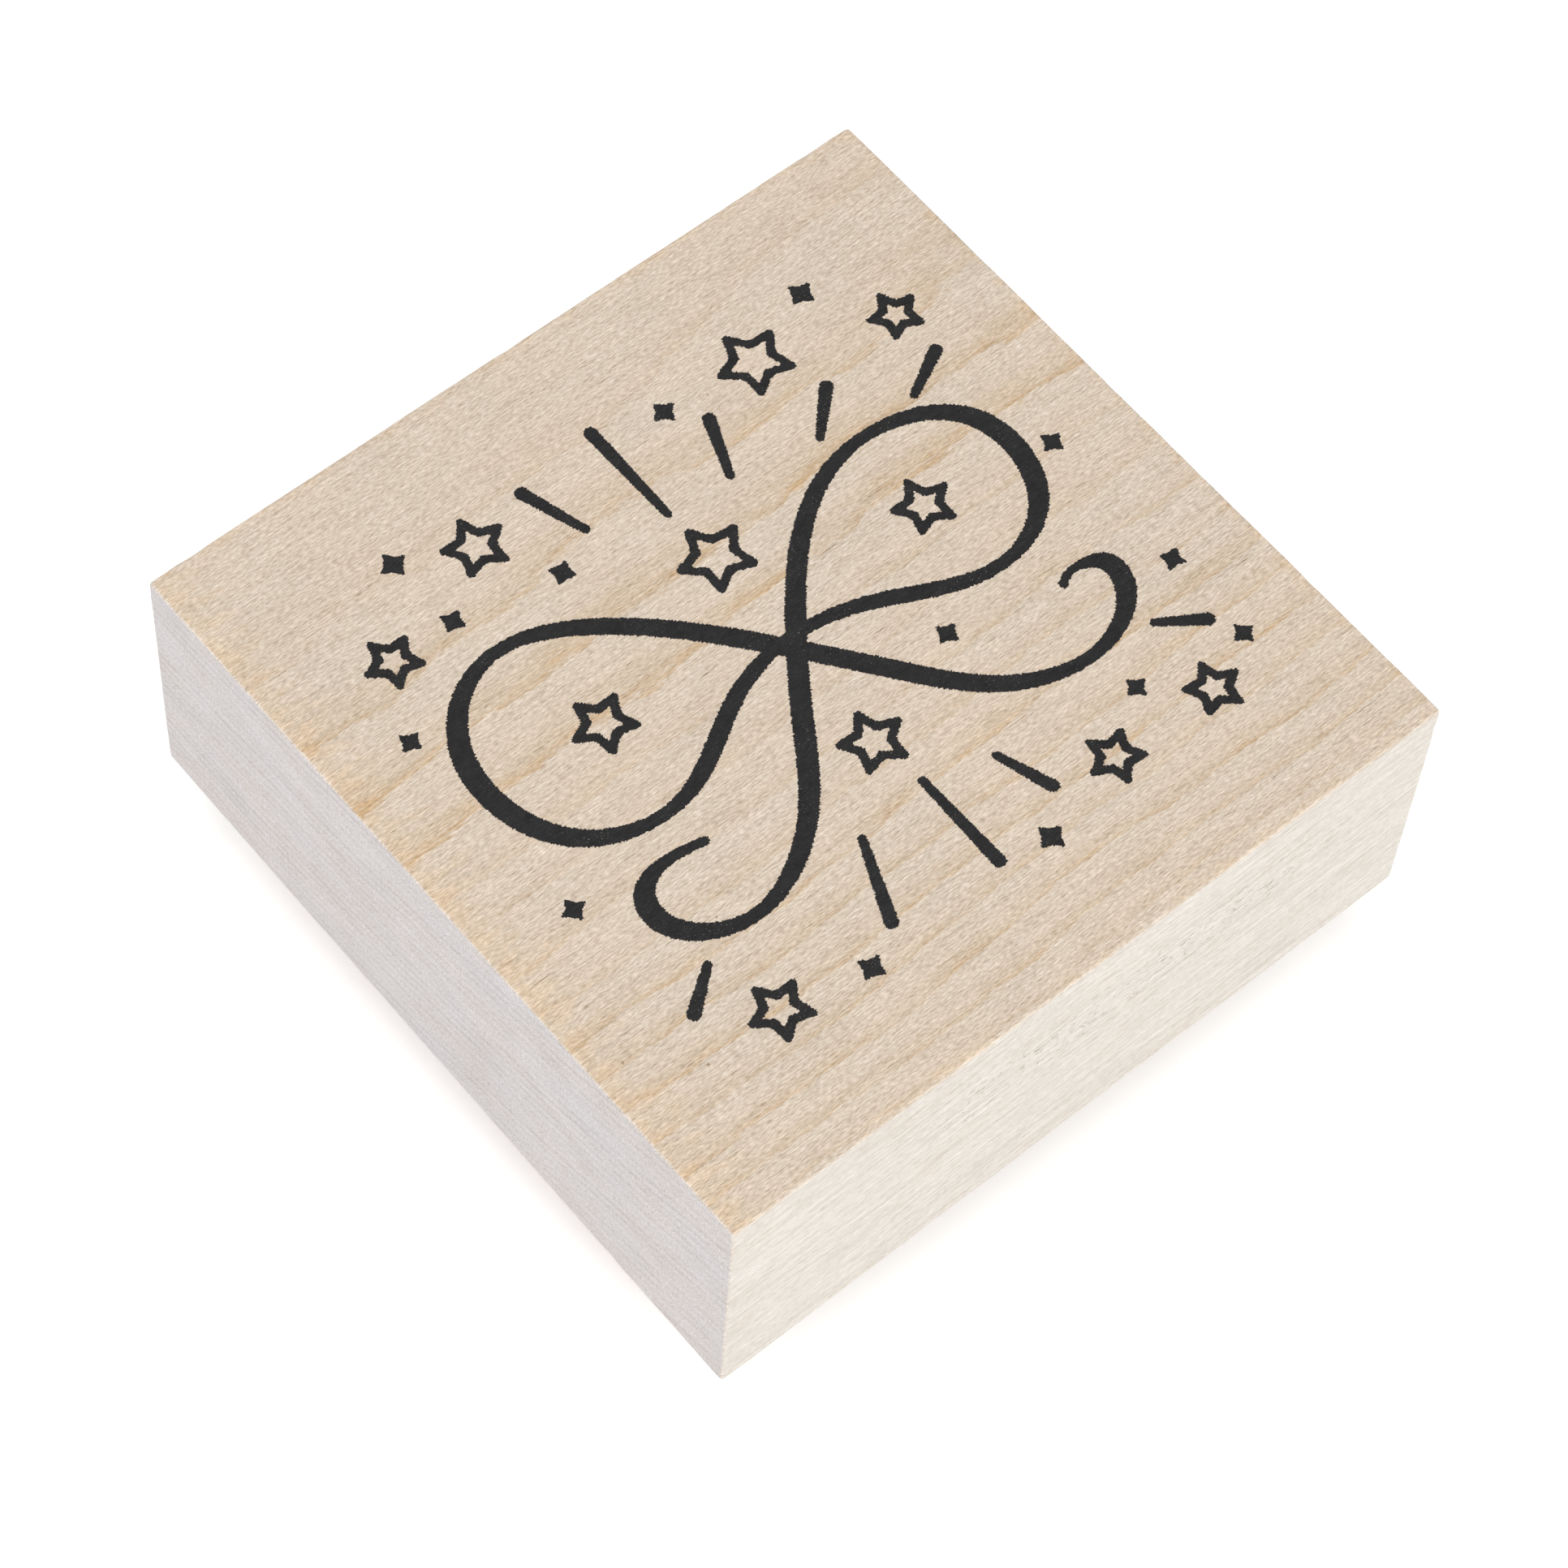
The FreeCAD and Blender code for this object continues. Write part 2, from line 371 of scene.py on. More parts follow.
@dataclass(frozen=True)
class MapleFinish(Finish):
    """Bare maple whose growth rings run through the block as one body of wood."""

    specular: float = 0.32
    bump_strength: float = 0.35
    roughness: float = 0.62
    roughness_by_fleck: float = 0.05
    roughness_of_ends: float = 0.08
    half_side: float = 31.75

    # The faces' colours, and what warms and tints them; the sides' and the ends' colours also hold painted
    # light and shade.
    sanded: Triple = (0.576, 0.487, 0.398)
    # The long sides' colour: long grain, made paler and less saturated than the top by a painted highlight,
    # as if washed out by the strong front light.
    sawn_with_painted_light: Triple = (0.617, 0.578, 0.529)
    # The ends' colour: end grain's own duller tone, plus painted cool shade that makes the end darker and
    # bluer.
    end_grain: Triple = (0.546, 0.511, 0.502)
    edge: Triple = (0.740, 0.635, 0.525)
    edge_share: float = 0.40
    warm: Triple = (1.0, 0.93, 0.84)
    warm_share: float = 0.35
    warm_by: float = 0.6
    warm_span: Span = (-0.2, 1.1)
    shade_tint: Triple = (0.88, 1.0, 1.18)
    yellow_less_blue: Triple = (1.0, 0.0, -1.0)

    # Growth rings: the pith's place, a ring's width and climb, the wanders, and the latewood.
    pith_y: float = 40.0
    pith_z: float = 188.0
    ring: float = 1.02
    climb: float = 0.0088
    wanders: tuple[Layer, ...] = (
        Layer((21.0, 10.0, 10.0), share=0.30),
        Layer((5.5, 2.6, 2.6), shift=40.0, share=0.09),
        Layer((1.6, 0.35, 0.6), 2.5, 90.0, share=0.10),
    )
    ring_close: Span = (0.95, 1.0)
    late_band: Span = (0.30, 0.95)
    late_line: Span = (0.82, 0.94)
    late_patches: Layer = Layer((7.0, 1.4, 1.4), 2.0, 15.0, (-0.7, 0.6))
    late_threads: Layer = Layer((3.4, 0.16, 0.20), 2.0, 19.0, (-0.7, 0.5))
    least_patch: float = 0.35
    least_vigour: float = 0.25
    least_thread: float = 0.40
    band_share: float = 0.75
    line_share: float = 0.60
    late_tan: Triple = (0.85, 0.705, 0.505)
    late_grey: Triple = (0.78, 0.77, 0.79)
    late_depth: float = 0.95
    late_less_on_ends: float = 0.40
    late_less_on_sides: float = 0.60
    end_band_shade: float = 0.11

    # Sealer that the top has drunk, over the left end and round the rim.
    soaked: Triple = (0.640, 0.462, 0.288)
    soak_patches: Layer = Layer((2.6, 1.1, 1.0), 2.0, 61.0, (-0.6, 0.9))
    left_reach: float = 4.0
    left_fray: float = 0.8
    left_fade: Span = (-2.5, 2.5)
    left_share: float = 0.42
    rim_reach: float = 0.5
    rim_fade: Span = (-0.1, 0.9)
    rim_share: float = 0.38

    # The long patch that the saw has torn, from its middle out, and odd spots of the same.
    torn_x: float = 4.0
    torn_z: float = 22.0
    torn_length: Span = (12.0, 24.0)
    torn_height: Span = (1.0, 4.5)
    torn_spots: Layer = Layer((9.0, 5.0, 5.0), 1.0, 83.0, (0.1, 0.9), share=0.35)
    torn_breaks: Layer = Layer((1.1, 0.45, 0.35), 1.0, 77.0, (-0.1, 0.4))
    torn_line: float = 0.15

    # The wood's shades and cuts, and how far each one stands out or sinks in.
    fleck: WoodLayer = WoodLayer((0.46, 0.105, 0.14), 1.0, 0.0, top=0.36, sides=0.155, ends=0.29)
    fibre: WoodLayer = WoodLayer((2.4, 0.115, 0.18), 1.5, 7.0, top=0.20, sides=0.15, ends=0.14)
    cloud: WoodLayer = WoodLayer((17.0, 6.5, 8.0), 1.0, 23.0, top=0.022, sides=0.022, ends=0.022)
    mottle: WoodLayer = WoodLayer((0.8, 0.30, 0.30), 2.0, 47.0, top=0.02, sides=0.02, ends=0.14)
    streak: WoodLayer = WoodLayer((26.0, 0.55, 0.45), 1.0, 101.0, top=0.015, sides=0.035)
    hair: WoodLayer = WoodLayer((9.0, 0.17, 0.14), 0.0, 131.0, sides=0.13)
    smudge: WoodLayer = WoodLayer((3.0, 4.2, 1.5), 2.0, 3.0, ends=0.08)
    tint: WoodLayer = WoodLayer((8.0, 9.0, 5.0), 2.0, 121.0, top=0.012, sides=0.012, ends=0.024)
    pore: WoodLayer = WoodLayer((1.5, 0.15, 0.20), 1.0, 31.0, (0.55, 0.90), top=0.18, sides=0.18, ends=0.18)
    dash: WoodLayer = WoodLayer((3.0, 0.16, 0.17), 1.0, 57.0, (0.52, 0.85), top=0.26, sides=0.26)
    scuff: WoodLayer = WoodLayer((1.5, 0.9, 0.75), 2.0, 71.0, sides=0.42)
    speck_gap: float = 5.2
    speck_size: Span = (0.012, 0.030)
    speck_shade: float = 0.45
    fleck_hill: float = 0.6
    fibre_hill: float = 0.35
    pore_hole: float = 1.6
    dash_hole: float = 1.4
    late_dip: float = 0.5
    scuff_dip: float = 1.2

    def ring_place(self, point: Wire) -> Wire:
        """How many rings out from the pith a point is, with the tree's wander in it.

        Args:
            point: the place, in millimetres.

        Returns:
            The count of rings.
        """
        graph = point.graph
        x, y, z = graph.axes(point)
        across, depth = y - self.pith_y, z - self.pith_z
        place = graph.maths("SQRT", across * across + depth * depth) + x * self.climb
        for layer in self.wanders:
            place = place + layer.on(point) * layer.share
        return place / self.ring

    def latewood(self, point: Wire) -> tuple[Wire, Wire]:
        """The dark side of each ring.

        Args:
            point: the place, in millimetres.

        Returns:
            The ring's plain shade, fading in patches, and the same shade broken up into
            threads with a fine line at its end.
        """
        graph = point.graph
        rings = self.ring_place(point)
        phase = graph.maths("FRACT", rings)
        count = {"W": graph.maths("FLOOR", rings)}
        vigour = graph.node("ShaderNodeTexWhiteNoise", {"noise_dimensions": "1D"}, count)
        ending = graph.ranged(phase, *self.ring_close, 1.0, 0.0)
        band = graph.ranged(phase, *self.late_band) * ending
        line = graph.ranged(phase, *self.late_line) * ending
        patches = self.late_patches.on(point).lifted(self.least_patch)
        threads = self.late_threads.on(point).lifted(self.least_thread)
        weight = patches * vigour.lifted(self.least_vigour)
        return band * weight, (self.band_share * band + self.line_share * line) * weight * threads

    def soak(self, point: Wire, fibre: Wire) -> Wire:
        """Where the top's edges have drunk sealer: deep at the left end, thin at the others.

        Args:
            point: the place, in millimetres.
            fibre: the wood's fibres, which draw the sealer in.

        Returns:
            The share of soaked wood, from 0 to 1.
        """
        graph = point.graph
        x, y, _ = graph.axes(point)
        furthest = graph.maths("MAXIMUM", graph.maths("ABSOLUTE", x), graph.maths("ABSOLUTE", y))
        patch = self.soak_patches.on(point)
        from_left = x + self.half_side - self.left_reach * patch - self.left_fray * fibre
        from_rim = self.half_side - furthest - self.rim_reach * patch
        left = graph.ranged(from_left, *self.left_fade, 1.0, 0.0)
        rim = graph.ranged(from_rim, *self.rim_fade, 1.0, 0.0)
        return graph.maths("MAXIMUM", left * self.left_share, rim * patch * self.rim_share)

    def torn_lines(self, point: Wire) -> Wire:
        """Broken lines where the saw has torn the sides: in a long patch under the upper
        edge, and in odd spots.

        Args:
            point: the place, in millimetres.

        Returns:
            How torn the place is, from 0 to 1.
        """
        graph = point.graph
        x, _, z = graph.axes(point)
        along = graph.ranged(graph.maths("ABSOLUTE", x - self.torn_x), *self.torn_length, 1.0, 0.0)
        upward = graph.ranged(graph.maths("ABSOLUTE", z - self.torn_z), *self.torn_height, 1.0, 0.0)
        spots = self.torn_spots.share * self.torn_spots.on(point)
        zone = graph.maths("MAXIMUM", spots, along * upward)
        off_line = graph.maths("ABSOLUTE", self.scuff.on(point))
        line = graph.ranged(off_line, 0.0, self.torn_line, 1.0, 0.0)
        return line * zone * self.torn_breaks.on(point)

    def inputs(self, point: Wire) -> dict[str, Any]:
        """Colour, roughness and bump of the wood.

        Args:
            point: the place, in millimetres.

        Returns:
            A value or wire for each of the shader's inputs.
        """
        graph = point.graph
        ends, top, arris = (
            graph.node("ShaderNodeAttribute", {"attribute_name": mask.value}, outlet="Fac")
            for mask in WoodMask
        )
        faces = {"top": top, "sides": (1.0 - top) * (1.0 - ends), "ends": ends}
        band, late = self.latewood(point)
        shading = (self.fleck, self.fibre, self.cloud, self.mottle, self.streak, self.hair, self.smudge)
        shades = [layer.on(point) for layer in shading]
        fleck, fibre, cloud, *_ = shades
        pore, dash = self.pore.on(point), self.dash.on(point)
        scuff = self.torn_lines(point)
        speck = graph.ranged(graph.dots(point, self.speck_gap), *self.speck_size, 1.0, 0.0)

        tone = 1.0 - self.speck_shade * speck - self.end_band_shade * band * ends
        for layer, shade in zip(shading, shades):
            tone = tone + shade * layer.weight(faces)
        for layer, cut in ((self.pore, pore), (self.dash, dash), (self.scuff, scuff)):
            tone = tone - cut * layer.weight(faces)

        # Painted light: the sides' colour holds a painted highlight, on top of the lamps' own light.
        colour = graph.mixed(top, self.sawn_with_painted_light, self.sanded)
        colour = graph.mixed(self.soak(point, fibre) * top, colour, self.soaked)
        # Painted shade: the ends' colour holds a painted cool shade, as well as the end grain's own tone.
        colour = graph.mixed(ends, colour, self.end_grain)
        colour = graph.mixed(arris * self.edge_share, colour, self.edge)
        late_colour = graph.mixed(ends, self.late_tan, self.late_grey)
        less = self.late_less_on_ends * ends + self.late_less_on_sides * faces["sides"]
        colour = graph.mixed(late * (self.late_depth - less), colour, colour * late_colour)
        warmth = graph.ranged(self.warm_by * fibre + self.warm_by * cloud, *self.warm_span) * top
        colour = graph.mixed(warmth * self.warm_share, colour, colour * self.warm)
        tint = self.tint.on(point) * self.tint.weight(faces) * self.yellow_less_blue
        colour = colour * ((tone - 1.0) * self.shade_tint + tint + (1.0, 1.0, 1.0))

        hills = self.fleck_hill * fleck + self.fibre_hill * fibre
        holes = self.pore_hole * pore + self.dash_hole * dash
        dips = self.late_dip * late + self.scuff_dip * scuff * faces["sides"]
        normal = self.bump(hills - holes - dips)
        roughness = self.roughness - self.roughness_by_fleck * fleck + self.roughness_of_ends * ends
        return {"Base Color": colour, "Roughness": roughness, "Normal": normal}


@dataclass(frozen=True)
class InkFinish(Finish):
    """Matt black printing ink that has sunk into the grain, with the wood's light specks."""

    specular: float = 0.10
    bump_depth: float = 0.015
    roughness: float = 0.60
    roughness_by_fleck: float = 0.06
    black: Triple = (0.0205, 0.0200, 0.0205)
    bare: Triple = (0.36, 0.33, 0.29)
    bare_share: float = 0.70
    fleck: Layer = Layer((0.45, 0.12, 0.5), 2.0, share=0.45)
    cloud: Layer = Layer((1.6, 0.9, 1.0), shift=5.0, share=0.20)
    thin: Layer = Layer((3.5, 2.5, 3.0), 1.0, 37.0, (-0.4, 0.8))
    missed: Layer = Layer((0.15, 0.10, 0.2), 1.0, 11.0, (0.50, 0.78))

    def inputs(self, point: Wire) -> dict[str, Any]:
        """Colour, roughness and bump of the ink.

        Args:
            point: the place, in millimetres.

        Returns:
            A value or wire for each of the shader's inputs.
        """
        fleck = self.fleck.on(point)
        missed = self.missed.on(point) * self.thin.on(point)
        film = 1.0 + self.fleck.share * fleck + self.cloud.share * self.cloud.on(point)
        colour = point.graph.mixed(missed * self.bare_share, film * self.black, self.bare)
        roughness = self.roughness + self.roughness_by_fleck * fleck
        return {"Base Color": colour, "Roughness": roughness, "Normal": self.bump(fleck)}


@dataclass(frozen=True)
class RubberFinish(Finish):
    """Vulcanised red rubber with a moulded skin and a little talc."""

    specular: float = 0.42
    bump_strength: float = 0.4
    roughness: float = 0.52
    roughness_by_talc: float = 0.10
    red: Triple = (0.33, 0.060, 0.038)
    dusted: Triple = (0.52, 0.30, 0.25)
    skin: Layer = Layer((0.16, 0.16, 0.16), 2.0, share=0.05)
    patch: Layer = Layer((4.0, 4.0, 4.0), 2.0, 9.0, share=0.07)
    talc: Layer = Layer((0.5, 0.5, 0.5), 3.0, 21.0, (0.35, 1.5), share=0.22)

    def inputs(self, point: Wire) -> dict[str, Any]:
        """Colour, roughness and bump of the rubber.

        Args:
            point: the place, in millimetres.

        Returns:
            A value or wire for each of the shader's inputs.
        """
        skin, patch, talc = (layer.on(point) for layer in (self.skin, self.patch, self.talc))
        shade = 1.0 + self.patch.share * patch + self.skin.share * skin
        colour = point.graph.mixed(talc * self.talc.share, shade * self.red, self.dusted)
        roughness = self.roughness + self.roughness_by_talc * talc
        return {"Base Color": colour, "Roughness": roughness, "Normal": self.bump(skin)}


@dataclass(frozen=True)
class FoamFinish(Finish):
    """Closed-cell foam, with the cells that the knife has opened."""

    specular: float = 0.25
    bump_strength: float = 0.8
    bump_depth: float = 0.07
    roughness: float = 0.86
    roughness_by_cell: float = 0.06
    grey: Triple = (0.56, 0.56, 0.545)
    cell: float = 0.27
    small_cell: float = 0.1215
    cell_edge: Span = (0.05, 0.60)
    # How much darker the hollows of the opened cells are painted: painted shade in the pits.
    cell_pit_painted_shade: float = 0.17
    small_shade: float = 0.07
    small_height: float = 0.35
    spread: Layer = Layer((0.5, 0.5, 0.4), 1.0, 13.0, share=0.28)
    cloud: Layer = Layer((3.0, 3.0, 1.2), share=0.03)

    def inputs(self, point: Wire) -> dict[str, Any]:
        """Colour, roughness and bump of the foam.

        Args:
            point: the place, in millimetres.

        Returns:
            A value or wire for each of the shader's inputs.
        """
        graph = point.graph
        small = graph.dots(point, self.small_cell)
        from_middle = graph.dots(point, self.cell) + self.spread.share * self.spread.on(point)
        opened = graph.ranged(from_middle, *self.cell_edge, 1.0, 0.0)
        cloud = self.cloud.share * self.cloud.on(point)
        # The opened cells' hollows get painted shade, where the bump also sinks them.
        colour = (1.0 - self.cell_pit_painted_shade * opened - self.small_shade * small + cloud) * self.grey
        bump = self.bump(1.0 - opened + self.small_height * small)
        roughness = self.roughness - self.roughness_by_cell * opened
        return {"Base Color": colour, "Roughness": roughness, "Normal": bump}


@dataclass(frozen=True)
class FilmFinish(Finish):
    """Cloudy pressure-sensitive adhesive, seen at its cut edge."""

    roughness: float = 0.34
    roughness_by_cloud: float = 0.08
    cream: Triple = (0.66, 0.60, 0.47)
    dusty: Triple = (0.40, 0.36, 0.30)
    cloud: Layer = Layer((1.2, 1.2, 0.3), 2.0, share=0.08)
    dust: Layer = Layer((0.25, 0.25, 0.25), 1.0, 17.0, (0.7, 1.3), share=0.3)

    def inputs(self, point: Wire) -> dict[str, Any]:
        """Colour, roughness and bump of the film.

        Args:
            point: the place, in millimetres.

        Returns:
            A value or wire for each of the shader's inputs.
        """
        cloud, dust = (layer.on(point) for layer in (self.cloud, self.dust))
        shade = 1.0 + self.cloud.share * cloud
        colour = point.graph.mixed(dust * self.dust.share, shade * self.cream, self.dusty)
        roughness = self.roughness + self.roughness_by_cloud * cloud
        return {"Base Color": colour, "Roughness": roughness, "Normal": self.bump(cloud)}


@dataclass(frozen=True)
class PaperFinish(Finish):
    """The pale seamless sheet that the stamp stands on."""

    specular: float = 0.1
    roughness: float = 0.9
    white: Triple = (0.93, 0.93, 0.93)
    glow: float = 0.25
    tooth: Layer = Layer((0.8, 0.8, 0.8), 2.0, share=0.004)

    def inputs(self, point: Wire) -> dict[str, Any]:
        """Colour and glow of the sheet.

        Args:
            point: the place, in millimetres.

        Returns:
            A value or wire for each of the shader's inputs.
        """
        return {
            "Base Color": (1.0 + self.tooth.share * self.tooth.on(point)) * self.white,
            "Roughness": self.roughness,
            "Emission Color": (1.0, 1.0, 1.0),
            "Emission Strength": self.glow,
        }


MAPLE = MapleFinish("maple_bare")
INK = InkFinish("index_ink_black")
RUBBER = RubberFinish("die_rubber_red")
FOAM = FoamFinish("cushion_foam_grey")
FILM = FilmFinish("adhesive_film_cloudy")
PAPER = PaperFinish("sheet_white")


# ---- meshes and outlines -------------------------------------------------------


def linked(name: str, data: bpy.types.ID) -> bpy.types.Object:
    """Put an object that holds some data into the scene."""
    made = bpy.data.objects.new(name, data)
    bpy.context.scene.collection.objects.link(made)
    return made


def new_piece(
    name: str, points_mm: np.ndarray, faces: Sequence[Sequence[int]], finish: Finish
) -> bpy.types.Object:
    """Make a smooth-shaded mesh object.

    Args:
        name: the piece's name.
        points_mm: its vertices, in millimetres.
        faces: vertex indices of each face, turning outwards.
        finish: its finish.

    Returns:
        The linked object.
    """
    mesh = bpy.data.meshes.new(name)
    mesh.from_pydata((np.asarray(points_mm) * MM).tolist(), [], [list(face) for face in faces])
    mesh.update()
    mesh.shade_smooth()
    mesh.materials.append(finish.material())
    return linked(name, mesh)


def fit_to_body(piece: bpy.types.Object, body: Body, slot: str, *nodes: str) -> bpy.types.Object:
    """Hand a finished piece to the frame and log it.

    Args:
        piece: the piece.
        body: the body that it rides on.
        slot: the record's material slot; not used.
        nodes: the CAD nodes that it stands for.

    Returns:
        The same piece.
    """
    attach(piece, body.value)
    if nodes:
        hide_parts(*nodes)
    triangles = sum(len(polygon.vertices) - 2 for polygon in piece.data.polygons)
    LOG.info("%s on %s: %d triangles", piece.name, body.value, triangles)
    return piece


def box_mm(node: str) -> tuple[np.ndarray, np.ndarray]:
    """A CAD node's lowest and highest corners, in millimetres."""
    low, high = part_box(node)
    return np.array(low) / MM, np.array(high) / MM


def flat_outlines(node: str, height_mm: float) -> list[np.ndarray]:
    """The closed outlines of a CAD node's flat faces at one height.

    Args:
        node: the node's name.
        height_mm: the faces' height.

    Returns:
        One array of plan points, in millimetres, for each outline.
    """
    mesh = frame["nodes"][node].data
    mesh.calc_loop_triangles()
    points = np.array([vertex.co for vertex in mesh.vertices], float) / MM
    level = np.abs(points[:, 2] - height_mm) < LEVEL_GAP
    keys = [tuple(key) for key in np.round(points[:, :2], WELD_DECIMALS)]
    edges: set[tuple[Any, Any]] = set()
    for triangle in mesh.loop_triangles:
        corners = list(triangle.vertices)
        if not all(level[corner] for corner in corners):
            continue
        for first, second in zip(corners, corners[1:] + corners[:1]):
            if (keys[second], keys[first]) in edges:
                edges.remove((keys[second], keys[first]))
            else:
                edges.add((keys[first], keys[second]))
    return [np.array(loop, float) for loop in chained(dict(sorted(edges)))]


def chained(following: dict[Any, Any]) -> list[list[Any]]:
    """Join links, each from one key to the next, into closed loops.

    Args:
        following: the key that follows each key; it is emptied.

    Returns:
        The keys of each loop, in order.
    """
    loops = []
    while following:
        start, current = following.popitem()
        loop = [start]
        while current != start:
            loop.append(current)
            current = following.pop(current)
        loops.append(loop)
    return loops


def evenly_spaced(loop: np.ndarray, step_mm: float) -> np.ndarray:
    """Space a closed loop's points again.

    Args:
        loop: its plan points.
        step_mm: about how far apart the new points stand.

    Returns:
        The new points.
    """
    closed = np.vstack([loop, loop[:1]])
    lengths = np.r_[0.0, np.cumsum(np.hypot(*np.diff(closed, axis=0).T))]
    count = max(FEWEST_POINTS, round(lengths[-1] / step_mm))
    places = np.linspace(0.0, lengths[-1], count, endpoint=False)
    return np.column_stack([np.interp(places, lengths, closed[:, axis]) for axis in (0, 1)])


# ---- trees that grow a piece -----------------------------------------------------


def opened_tree(name: str, start: str, sizes: Mapping[str, str], result: str) -> Wire:
    """Start a node tree that takes a geometry, its sizes and a finish.

    Args:
        name: the tree's name.
        start: the name of the geometry that it takes.
        sizes: the kind of each named size, such as Float.
        result: the name of the geometry that it makes.

    Returns:
        The wire of its first input.
    """
    made = bpy.data.node_groups.new(name, "GeometryNodeTree")
    for label, kind in {start: "Geometry", **sizes, "Finish": "Material"}.items():
        made.interface.new_socket(label, in_out="INPUT", socket_type=f"NodeSocket{kind}")
    made.interface.new_socket(result, in_out="OUTPUT", socket_type="NodeSocketGeometry")
    return Graph(made).node("NodeGroupInput")


def closed_tree(given: Wire, shape: Wire) -> bpy.types.NodeTree:
    """End a node tree with real geometry in its finish.

    Args:
        given: the wire of the tree's first input.
        shape: the geometry.

    Returns:
        The tree.
    """
    graph = given.graph
    real = graph.node("GeometryNodeRealizeInstances", None, {"Geometry": shape})
    clad = {"Geometry": real, "Material": given.also("Finish")}
    graph.node("NodeGroupOutput", None, {0: graph.node("GeometryNodeSetMaterial", None, clad)})
    return graph.tree


def grown(
    piece: bpy.types.Object, tree: bpy.types.NodeTree, sizes: Mapping[str, Any]
) -> bpy.types.Object:
    """Run a node tree on a piece and keep its result as a plain mesh.

    Args:
        piece: the object that the tree starts from.
        tree: the node tree.
        sizes: a value for each named input.

    Returns:
        The same object, with its new mesh and no modifier.
    """
    modifier = piece.modifiers.new(tree.name, "NODES")
    modifier.node_group = tree
    for socket in tree.interface.items_tree:
        if socket.in_out == "INPUT" and socket.name in sizes:
            modifier[socket.identifier] = sizes[socket.name]
    view = bpy.context.evaluated_depsgraph_get()
    mesh = bpy.data.meshes.new_from_object(piece.evaluated_get(view))
    mesh.name = piece.name
    piece.modifiers.remove(modifier)
    piece.data = mesh
    return piece


@dataclass(frozen=True)
class OutlinedSlab:
    """A thin slab with a restless edge, on the outlines of a CAD node's top face."""

    step: float
    bleed_along: float
    bleed_across: float
    low: float
    high: float
    grain: float = 0.14
    broad: Layer = Layer((3.4, 0.9, 1.0), share=0.6)
    fine: Layer = Layer((1.3, 0.4, 1.0), shift=31.0)
    most_stir: float = 0.8
    facing_up: float = 0.9
    weld: float = 0.001
    seam: float = 0.0005

    def _outline(self, given: Wire) -> Wire:
        """The rim of the CAD node's top, as an evenly spaced curve.

        Args:
            given: the wire of the tree's first input.

        Returns:
            The curve.
        """
        graph = given.graph
        welding = {"Geometry": given, "Distance": self.weld * MM}
        welded = graph.node("GeometryNodeMergeByDistance", None, welding)
        *_, upward = graph.axes(graph.node("GeometryNodeInputNormal", outlet="True Normal"))
        levels = {"A": upward, "B": self.facing_up}
        sides = graph.node("FunctionNodeCompare", {"operation": "LESS_THAN"}, levels)
        unwanted = {"Geometry": welded, "Selection": sides}
        top = graph.node("GeometryNodeDeleteGeometry", {"domain": "FACE"}, unwanted)
        counts = {2: graph.node("GeometryNodeInputMeshEdgeNeighbors"), 3: 1}
        rim = graph.node("FunctionNodeCompare", {"operation": "EQUAL", "data_type": "INT"}, counts)
        outline = graph.node("GeometryNodeMeshToCurve", None, {"Mesh": top, "Selection": rim})
        spacing = {"Curve": outline, "Length": given.also("Step")}
        return graph.node("GeometryNodeResampleCurve", {"mode": "LENGTH"}, spacing)

    def _fray(self, given: Wire) -> Wire:
        """How far each point of the outline strays, along the outline's own normal.

        Args:
            given: the wire of the tree's first input.

        Returns:
            The offset's wire.
        """
        graph = given.graph
        place = graph.node("GeometryNodeInputPosition") / given.also("Grain")
        stir = self.broad.on(place) * self.broad.share + self.fine.on(place)
        stir = graph.maths("MAXIMUM", graph.maths("MINIMUM", stir, self.most_stir), -self.most_stir)
        tangent = graph.node("GeometryNodeInputTangent")
        outward = graph.vectors("CROSS_PRODUCT", tangent, (0.0, 0.0, 1.0))
        bleed = graph.vector(X=given.also("Bleed Along"), Y=given.also("Bleed Across"))
        reach = graph.vectors("DOT_PRODUCT", graph.vectors("ABSOLUTE", outward), bleed).also("Value")
        return outward * (stir * reach)

    def tree(self) -> bpy.types.NodeTree:
        """Build the node tree, or find it if it is built.

        Returns:
            The tree.
        """
        known = bpy.data.node_groups.get("outlined_slab")
        if known:
            return known
        names = ("Step", "Bleed Along", "Bleed Across", "Low", "High", "Grain")
        given = opened_tree("outlined_slab", "Layer", dict.fromkeys(names, "Float"), "Slab")
        graph = given.graph
        frayed = graph.moved(self._outline(given), self._fray(given))
        filled = graph.node("GeometryNodeFillCurve", {"mode": "TRIANGLES"}, {"Curve": frayed})
        laid = graph.moved(filled, graph.vector(Z=given.also("Low")))
        rise = graph.vector(Z=given.also("High") - given.also("Low"))
        climb = {"Mesh": laid, "Offset": rise, "Offset Scale": 1.0, "Individual": False}
        raised = graph.node("GeometryNodeExtrudeMesh", {"mode": "FACES"}, climb)
        under = graph.node("GeometryNodeFlipFaces", None, {"Mesh": laid})
        joined = graph.node("GeometryNodeJoinGeometry", None, {"Geometry": [raised, under]})
        sealing = {"Geometry": joined, "Distance": self.seam * MM}
        return closed_tree(given, graph.node("GeometryNodeMergeByDistance", None, sealing))

    def make(self, name: str, node: str, finish: Finish) -> bpy.types.Object:
        """Make the piece that stands for a CAD node.

        Args:
            name: the piece's name.
            node: the CAD node with the outlines.
            finish: the piece's finish.

        Returns:
            The piece, as a plain mesh.
        """
        sizes = {
            "Step": self.step * MM,
            "Bleed Along": self.bleed_along * MM,
            "Bleed Across": self.bleed_across * MM,
            "Low": self.low * MM,
            "High": self.high * MM,
            "Grain": self.grain * MM,
            "Finish": finish.material(),
        }
        return grown(linked(name, frame["nodes"][node].data.copy()), self.tree(), sizes)


